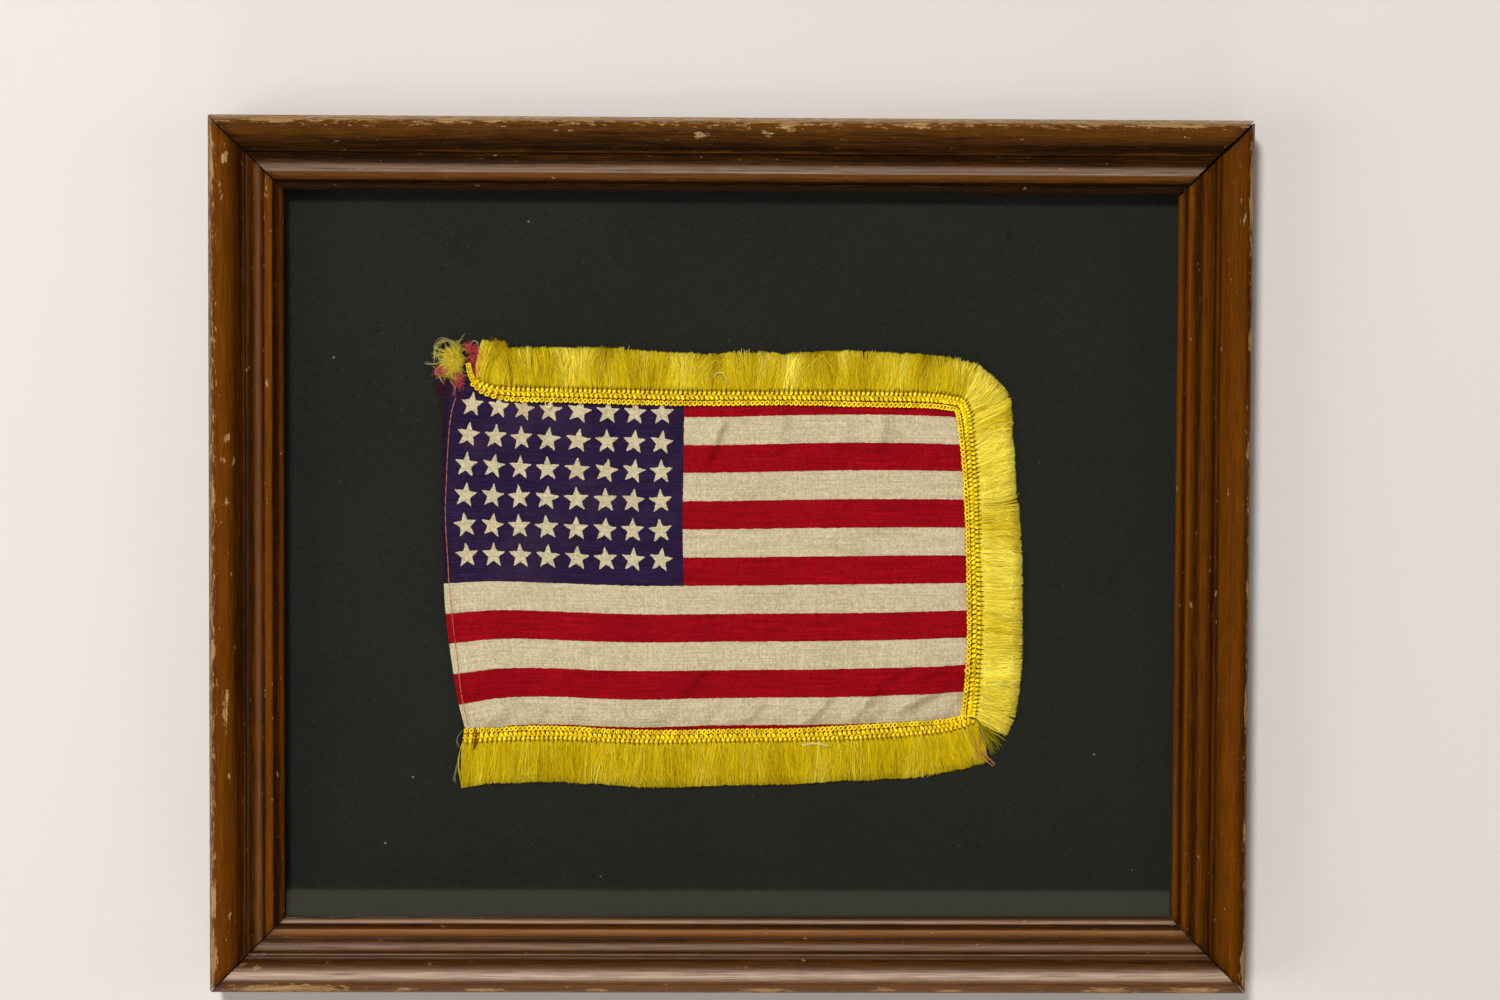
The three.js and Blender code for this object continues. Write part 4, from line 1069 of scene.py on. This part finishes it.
# Frayed corner
# The cut end of the fringe at the upper hoist corner: its header's loose end and a fanned tuft of threads.
# Red and maroon threads from the torn cloth and seam are tangled round it.
TUFT_ROOT = (-74.4, 53.3)
ARCH = [(-81.6, 53.2), (-81.5, 56.4), (-79.9, 58.7), (-77.5, 58.8), (-75.8, 57.1), (-74.9, 54.6)]
END_STATIONS = [
    # the header's loose end, which has no skirt: its two edges
    ((-73, 52.6), (-71.9, 53), (-71.9, 53)), ((-72.8, 50.6), (-71.4, 50.9), (-71.4, 50.9)),
    ((-72.2, 48.6), (-70.6, 49.2), (-70.6, 49.2)), ((-71.3, 46.9), (-69.4, 48.3), (-69.4, 48.3)),
]
END_ROWS = [
    # loops, place across, half length, half width, cord, tilt
    (7, 0.25, 0.5, 0.32, 0.19, 0.4), (9, 0.75, 0.34, 0.22, 0.17, 0.6),
]
END_HEIGHT = HEADER_LOW + 0.85
END_DIMMING = 0.68
RED_SPOTS = [
    (-72.6, 57.2), (-71.2, 56.6), (-70.4, 55), (-71.4, 53.4), (-70.3, 51.4), (-70, 49.6), (-80.6, 50.4),
    (-79, 51), (-75.4, 49), (-75.2, 47.2),
]
MAROON_SPOTS = [(-80, 48.4), (-79.4, 46), (-79, 43.6), (-77.6, 47.4), (-76.6, 44)]
LOOSE_ENDS = [
    # pale threads that stray from the tuft
    [(-77, 53.6), (-80, 53.4), (-82.4, 52.6), (-84.6, 53)],
    [(-78.6, 52), (-80.6, 50.2), (-79.8, 48), (-78.6, 46.6)],
    [(-76.4, 51), (-77.4, 48.4), (-76.2, 46), (-76.6, 43.6)],
    [(-72.4, 57.2), (-71.2, 59), (-69.8, 58.4), (-69.6, 56.6)],
]
TUFT_THREADS = 330
PALE_TUFT_THREADS = 90
RED_THREADS = 46
MAROON_THREADS = 30
RED_DYE = (0.6, 0.07, 0.105)
MAROON_DYE = (0.07, 0.01, 0.03)
ARCH_DYE = (0.6, 0.52, 0.2)
LOOSE_DYE = (0.62, 0.52, 0.3)
rng = np.random.default_rng(21)


def tangle(count, centre, spread, reach, low, high, curl, fan=np.pi, steps=10):
    """Loose curling threads round a point, or fanned out to the left of it."""
    start = np.array(centre) + rng.normal(0, 1, (count, 2)) * spread
    shares = np.linspace(0, 1, steps)
    turns = np.pi + rng.uniform(-fan, fan, (count, 1)) + rng.normal(0, curl, (count, 1)) * shares
    step = rng.uniform(0.5, 1, (count, 1)) * reach / (steps - 1)
    x = start[:, :1] + np.cumsum(np.cos(turns) * step, axis=1)
    y = start[:, 1:] + np.cumsum(np.sin(turns) * step, axis=1)
    level = rng.uniform(low, high, (count, 1)) + rng.uniform(0, 0.7, (count, 1)) * np.sin(np.pi * shares)
    return np.dstack([x, y, level])


def strands_along(points, count, jitter, low, high, steps=12):
    """A few loose threads that follow one given route."""
    line = along_curve(points, np.linspace(0, 1, steps))
    start = rng.normal(0, jitter, (count, 1, 2))
    end = rng.normal(0, jitter, (count, 1, 2))
    share = np.linspace(0, 1, steps)[:, None]
    level = rng.uniform(low, high, (count, 1)) + 0.5 * np.sin(np.pi * share[:, 0])
    return np.dstack([line + start * (1 - share) + end * share, level])


def dyed(count, colour):
    """A dye's shade for each thread, some darker and some lighter."""
    return rng.uniform(0.6, 1.35, (count, 1)) * np.array(colour)


def strays(route, count, jitter, low, high, thickness, sides, dye):
    return tubes(strands_along(route, count, jitter, low, high), thickness, sides), dyed(count, dye)


tuft = tangle(
    TUFT_THREADS, TUFT_ROOT, spread=(0.5, 1), reach=5.6, low=4.6, high=6.2, curl=1.5, fan=0.75,
)
frayed_parts = [(tubes(tuft, 0.06, 3), gold_shades(rng.normal(0.62, 0.14, TUFT_THREADS)))]
tuft = tangle(
    PALE_TUFT_THREADS, TUFT_ROOT, spread=(0.9, 0.9), reach=7.6, low=4.6, high=6.2, curl=1.5, fan=0.6,
)
frayed_parts.append((tubes(tuft, 0.045, 3), gold_shades(rng.normal(0.95, 0.1, PALE_TUFT_THREADS))))
frayed_parts.append(strays(ARCH, 9, 0.6, 5, 6.2, 0.045, 3, ARCH_DYE))
end_placing = even_places(END_STATIONS)[0]
for count, across, half_along, half_across, cord, tilt in END_ROWS:
    loops, loop_shades = header_loops(
        END_STATIONS, end_placing, count, across, half_along, half_across, END_HEIGHT, cord, tilt, rng,
    )
    frayed_parts.append((loops, END_DIMMING * loop_shades))
for spot in RED_SPOTS:
    curls = tangle(RED_THREADS, spot, spread=0.5, reach=1.7, low=4.7, high=5.9, curl=2)
    frayed_parts.append((tubes(curls, 0.07, 3), dyed(RED_THREADS, RED_DYE)))
for spot in MAROON_SPOTS:
    curls = tangle(MAROON_THREADS, spot, spread=0.7, reach=2.8, low=4.6, high=5.4, curl=2.4)
    frayed_parts.append((tubes(curls, 0.085, 3), dyed(MAROON_THREADS, MAROON_DYE)))
for route in LOOSE_ENDS:
    frayed_parts.append(strays(route, 3, 0.3, 5, 5.8, 0.05, 3, LOOSE_DYE))
frayed = thread_piece("frayed_corner_threads", frayed_parts, gold_rayon)
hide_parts("frayed_corner")

# Loose threads
# Stray ends of cotton sewing thread and of the rayon fringe, still caught under the header's seam.
# They show at the lower fly corner, at the lower hoist corner and on the skirts.
CORNER_ROOT = (67.6, -45.8)
TAN_ENDS = [
    [(67.4, -47), (67.9, -50.1), (68.7, -53), (68.9, -55.4)],
    [(68.4, -46.6), (69.4, -48.2), (69.8, -50.6), (69.4, -53.4)],
    [(69.2, -54.4), (70.6, -56), (72, -57.4), (73.3, -58.6)],
    [(69.8, -54), (71.2, -55.6), (72.6, -56.8), (73.7, -57.9)],
]
PALE_CURLS = [
    [(-5, 49.3), (-4.2, 50.5), (-2.6, 50.6), (-1.5, 49.2), (-1.2, 47.8)],
    [(20, -52.6), (22.4, -52), (25, -52.1), (27.6, -52.9)],
    [(-51.2, 42.2), (-50.9, 41), (-49.8, 41), (-49.7, 42.2)],
]
FAINT_ENDS = [
    [(-74.2, -49), (-75.4, -50.4), (-75.6, -52), (-74.6, -53.4)],
    [(-74.4, -55.6), (-75.4, -58), (-76, -60.4), (-76.4, -63)],
    [(-74.6, -57), (-75.2, -59.4), (-76.4, -61.4), (-76.2, -63.6)],
]
SEAM_END = [(-70.6, -48), (-70.3, -49.4), (-70.5, -51.2), (-70.7, -53.4)]
SPARSE_COUNT = 80
SPARSE_TINT = (0.7, 0.78, 1.6)
TAN_DYE = (0.42, 0.17, 0.07)
SEAM_DYE = (0.2, 0.06, 0.012)
CURL_DYE = (0.85, 0.76, 0.34)
FAINT_DYE = (0.4, 0.34, 0.2)
sparse = []
for heading in np.linspace(-0.3, -1.2, SPARSE_COUNT):
    reach = rng.uniform(6.5, 11)
    bend = rng.normal(-0.25, 0.25)
    shares = np.linspace(0, 1, 7)[:, None]
    turns = heading + bend * shares + rng.normal(0, 0.06)
    root = np.array(CORNER_ROOT) + rng.normal(0, 0.5, 2)
    route = root + reach * shares * np.hstack([np.cos(turns), np.sin(turns)])
    sparse.append(np.column_stack([route, 5.6 - 0.9 * shares[:, 0] + rng.uniform(-0.2, 0.3)]))
loose_parts = [(tubes(sparse, 0.07, 3), gold_shades(rng.normal(0.45, 0.3, SPARSE_COUNT)) * SPARSE_TINT)]
for route in TAN_ENDS:
    loose_parts.append(strays(route, 3, 0.2, 5.2, 5.8, 0.1, 4, TAN_DYE))
loose_parts.append(strays(SEAM_END, 5, 0.22, 6.5, 6.8, 0.1, 4, SEAM_DYE))
for route in PALE_CURLS:
    loose_parts.append(strays(route, 2, 0.12, 6.2, 6.5, 0.08, 4, CURL_DYE))
for route in FAINT_ENDS:
    loose_parts.append(strays(route, 3, 0.25, 4.8, 5.4, 0.045, 3, FAINT_DYE))
loose = thread_piece("loose_threads", loose_parts, gold_rayon)

# Glass pane
# A pane of plain flat picture glass, cut to the rabbet.
# It is held under the frame's lip by the board behind it.
picture_glass, tree, shader = new_material("picture_glass")
shader.inputs["Base Color"].default_value = (0.97, 0.985, 0.98, 1)
shader.inputs["Roughness"].default_value = 0.02
shader.inputs["Transmission Weight"].default_value = 1
shader.inputs["IOR"].default_value = 1.5
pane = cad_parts["glass_pane"]
pane.data.materials.clear()
pane.data.materials.append(picture_glass)
pane.visible_shadow = False
pane.visible_diffuse = False

# Floor, soft light and camera
# The frame lies on its back on a pale floor, lit from the upper left by soft lights.
# The camera looks almost straight down on its face.
bpy.ops.object.select_all(action="DESELECT")
bpy.ops.mesh.primitive_plane_add(size=6, location=(0, 0, -0.0005))
floor = bpy.context.object
floor.name = "floor"
pale_floor, tree, shader = new_material("pale_floor")
shader.inputs["Base Color"].default_value = (0.605, 0.566, 0.542, 1)
shader.inputs["Roughness"].default_value = 0.9
shader.inputs["Specular IOR Level"].default_value = 0.1
floor.data.materials.append(pale_floor)


def soft_light(name, place, aim, size, power, colour):
    lamp = bpy.data.lights.new(name, "AREA")
    lamp.shape = "RECTANGLE"
    lamp.size, lamp.size_y = size
    lamp.energy = power
    lamp.color = colour
    holder = bpy.data.objects.new(name, lamp)
    bpy.context.scene.collection.objects.link(holder)
    holder.location = place
    holder.rotation_euler = (Vector(aim) - Vector(place)).to_track_quat("-Z", "Y").to_euler()


soft_light("key", (-0.24, 0.58, 1.34), (0, 0, 0), (0.2, 0.2), 20.8, (1, 0.985, 0.96))
soft_light("left_fill", (-1.4, -0.3, 0.9), (0, 0, 0), (1, 1), 13, (1, 0.99, 0.98))
soft_light("right_fill", (1.4, 0.1, 0.9), (0, 0, 0), (1, 1), 6, (1, 0.98, 0.96))
soft_light("low_fill", (0, -1.3, 0.45), (0, 0, 0), (1.2, 0.4), 8.5, (1, 0.96, 0.92))
soft_light("glass_band", (0, -0.509, 0.82), (0, -0.509, 0), (1.4, 0.55), 0.88, (1, 0.93, 0.63))
world = bpy.data.worlds.new("studio")
world.use_nodes = True
world.node_tree.nodes["Background"].inputs["Color"].default_value = (0.95, 0.97, 1, 1)
world.node_tree.nodes["Background"].inputs["Strength"].default_value = 0.015
bpy.context.scene.world = world
bpy.context.scene.view_settings.view_transform = "Standard"

lens = bpy.data.cameras.new("camera")
lens.lens = 70
lens.sensor_width = 36
camera = bpy.data.objects.new("camera", lens)
bpy.context.scene.collection.objects.link(camera)
camera.location = (-0.00787, 0.04749, 0.81224)
camera.rotation_euler = (-0.03984, -0.01615, 0.00468)
bpy.context.scene.camera = camera
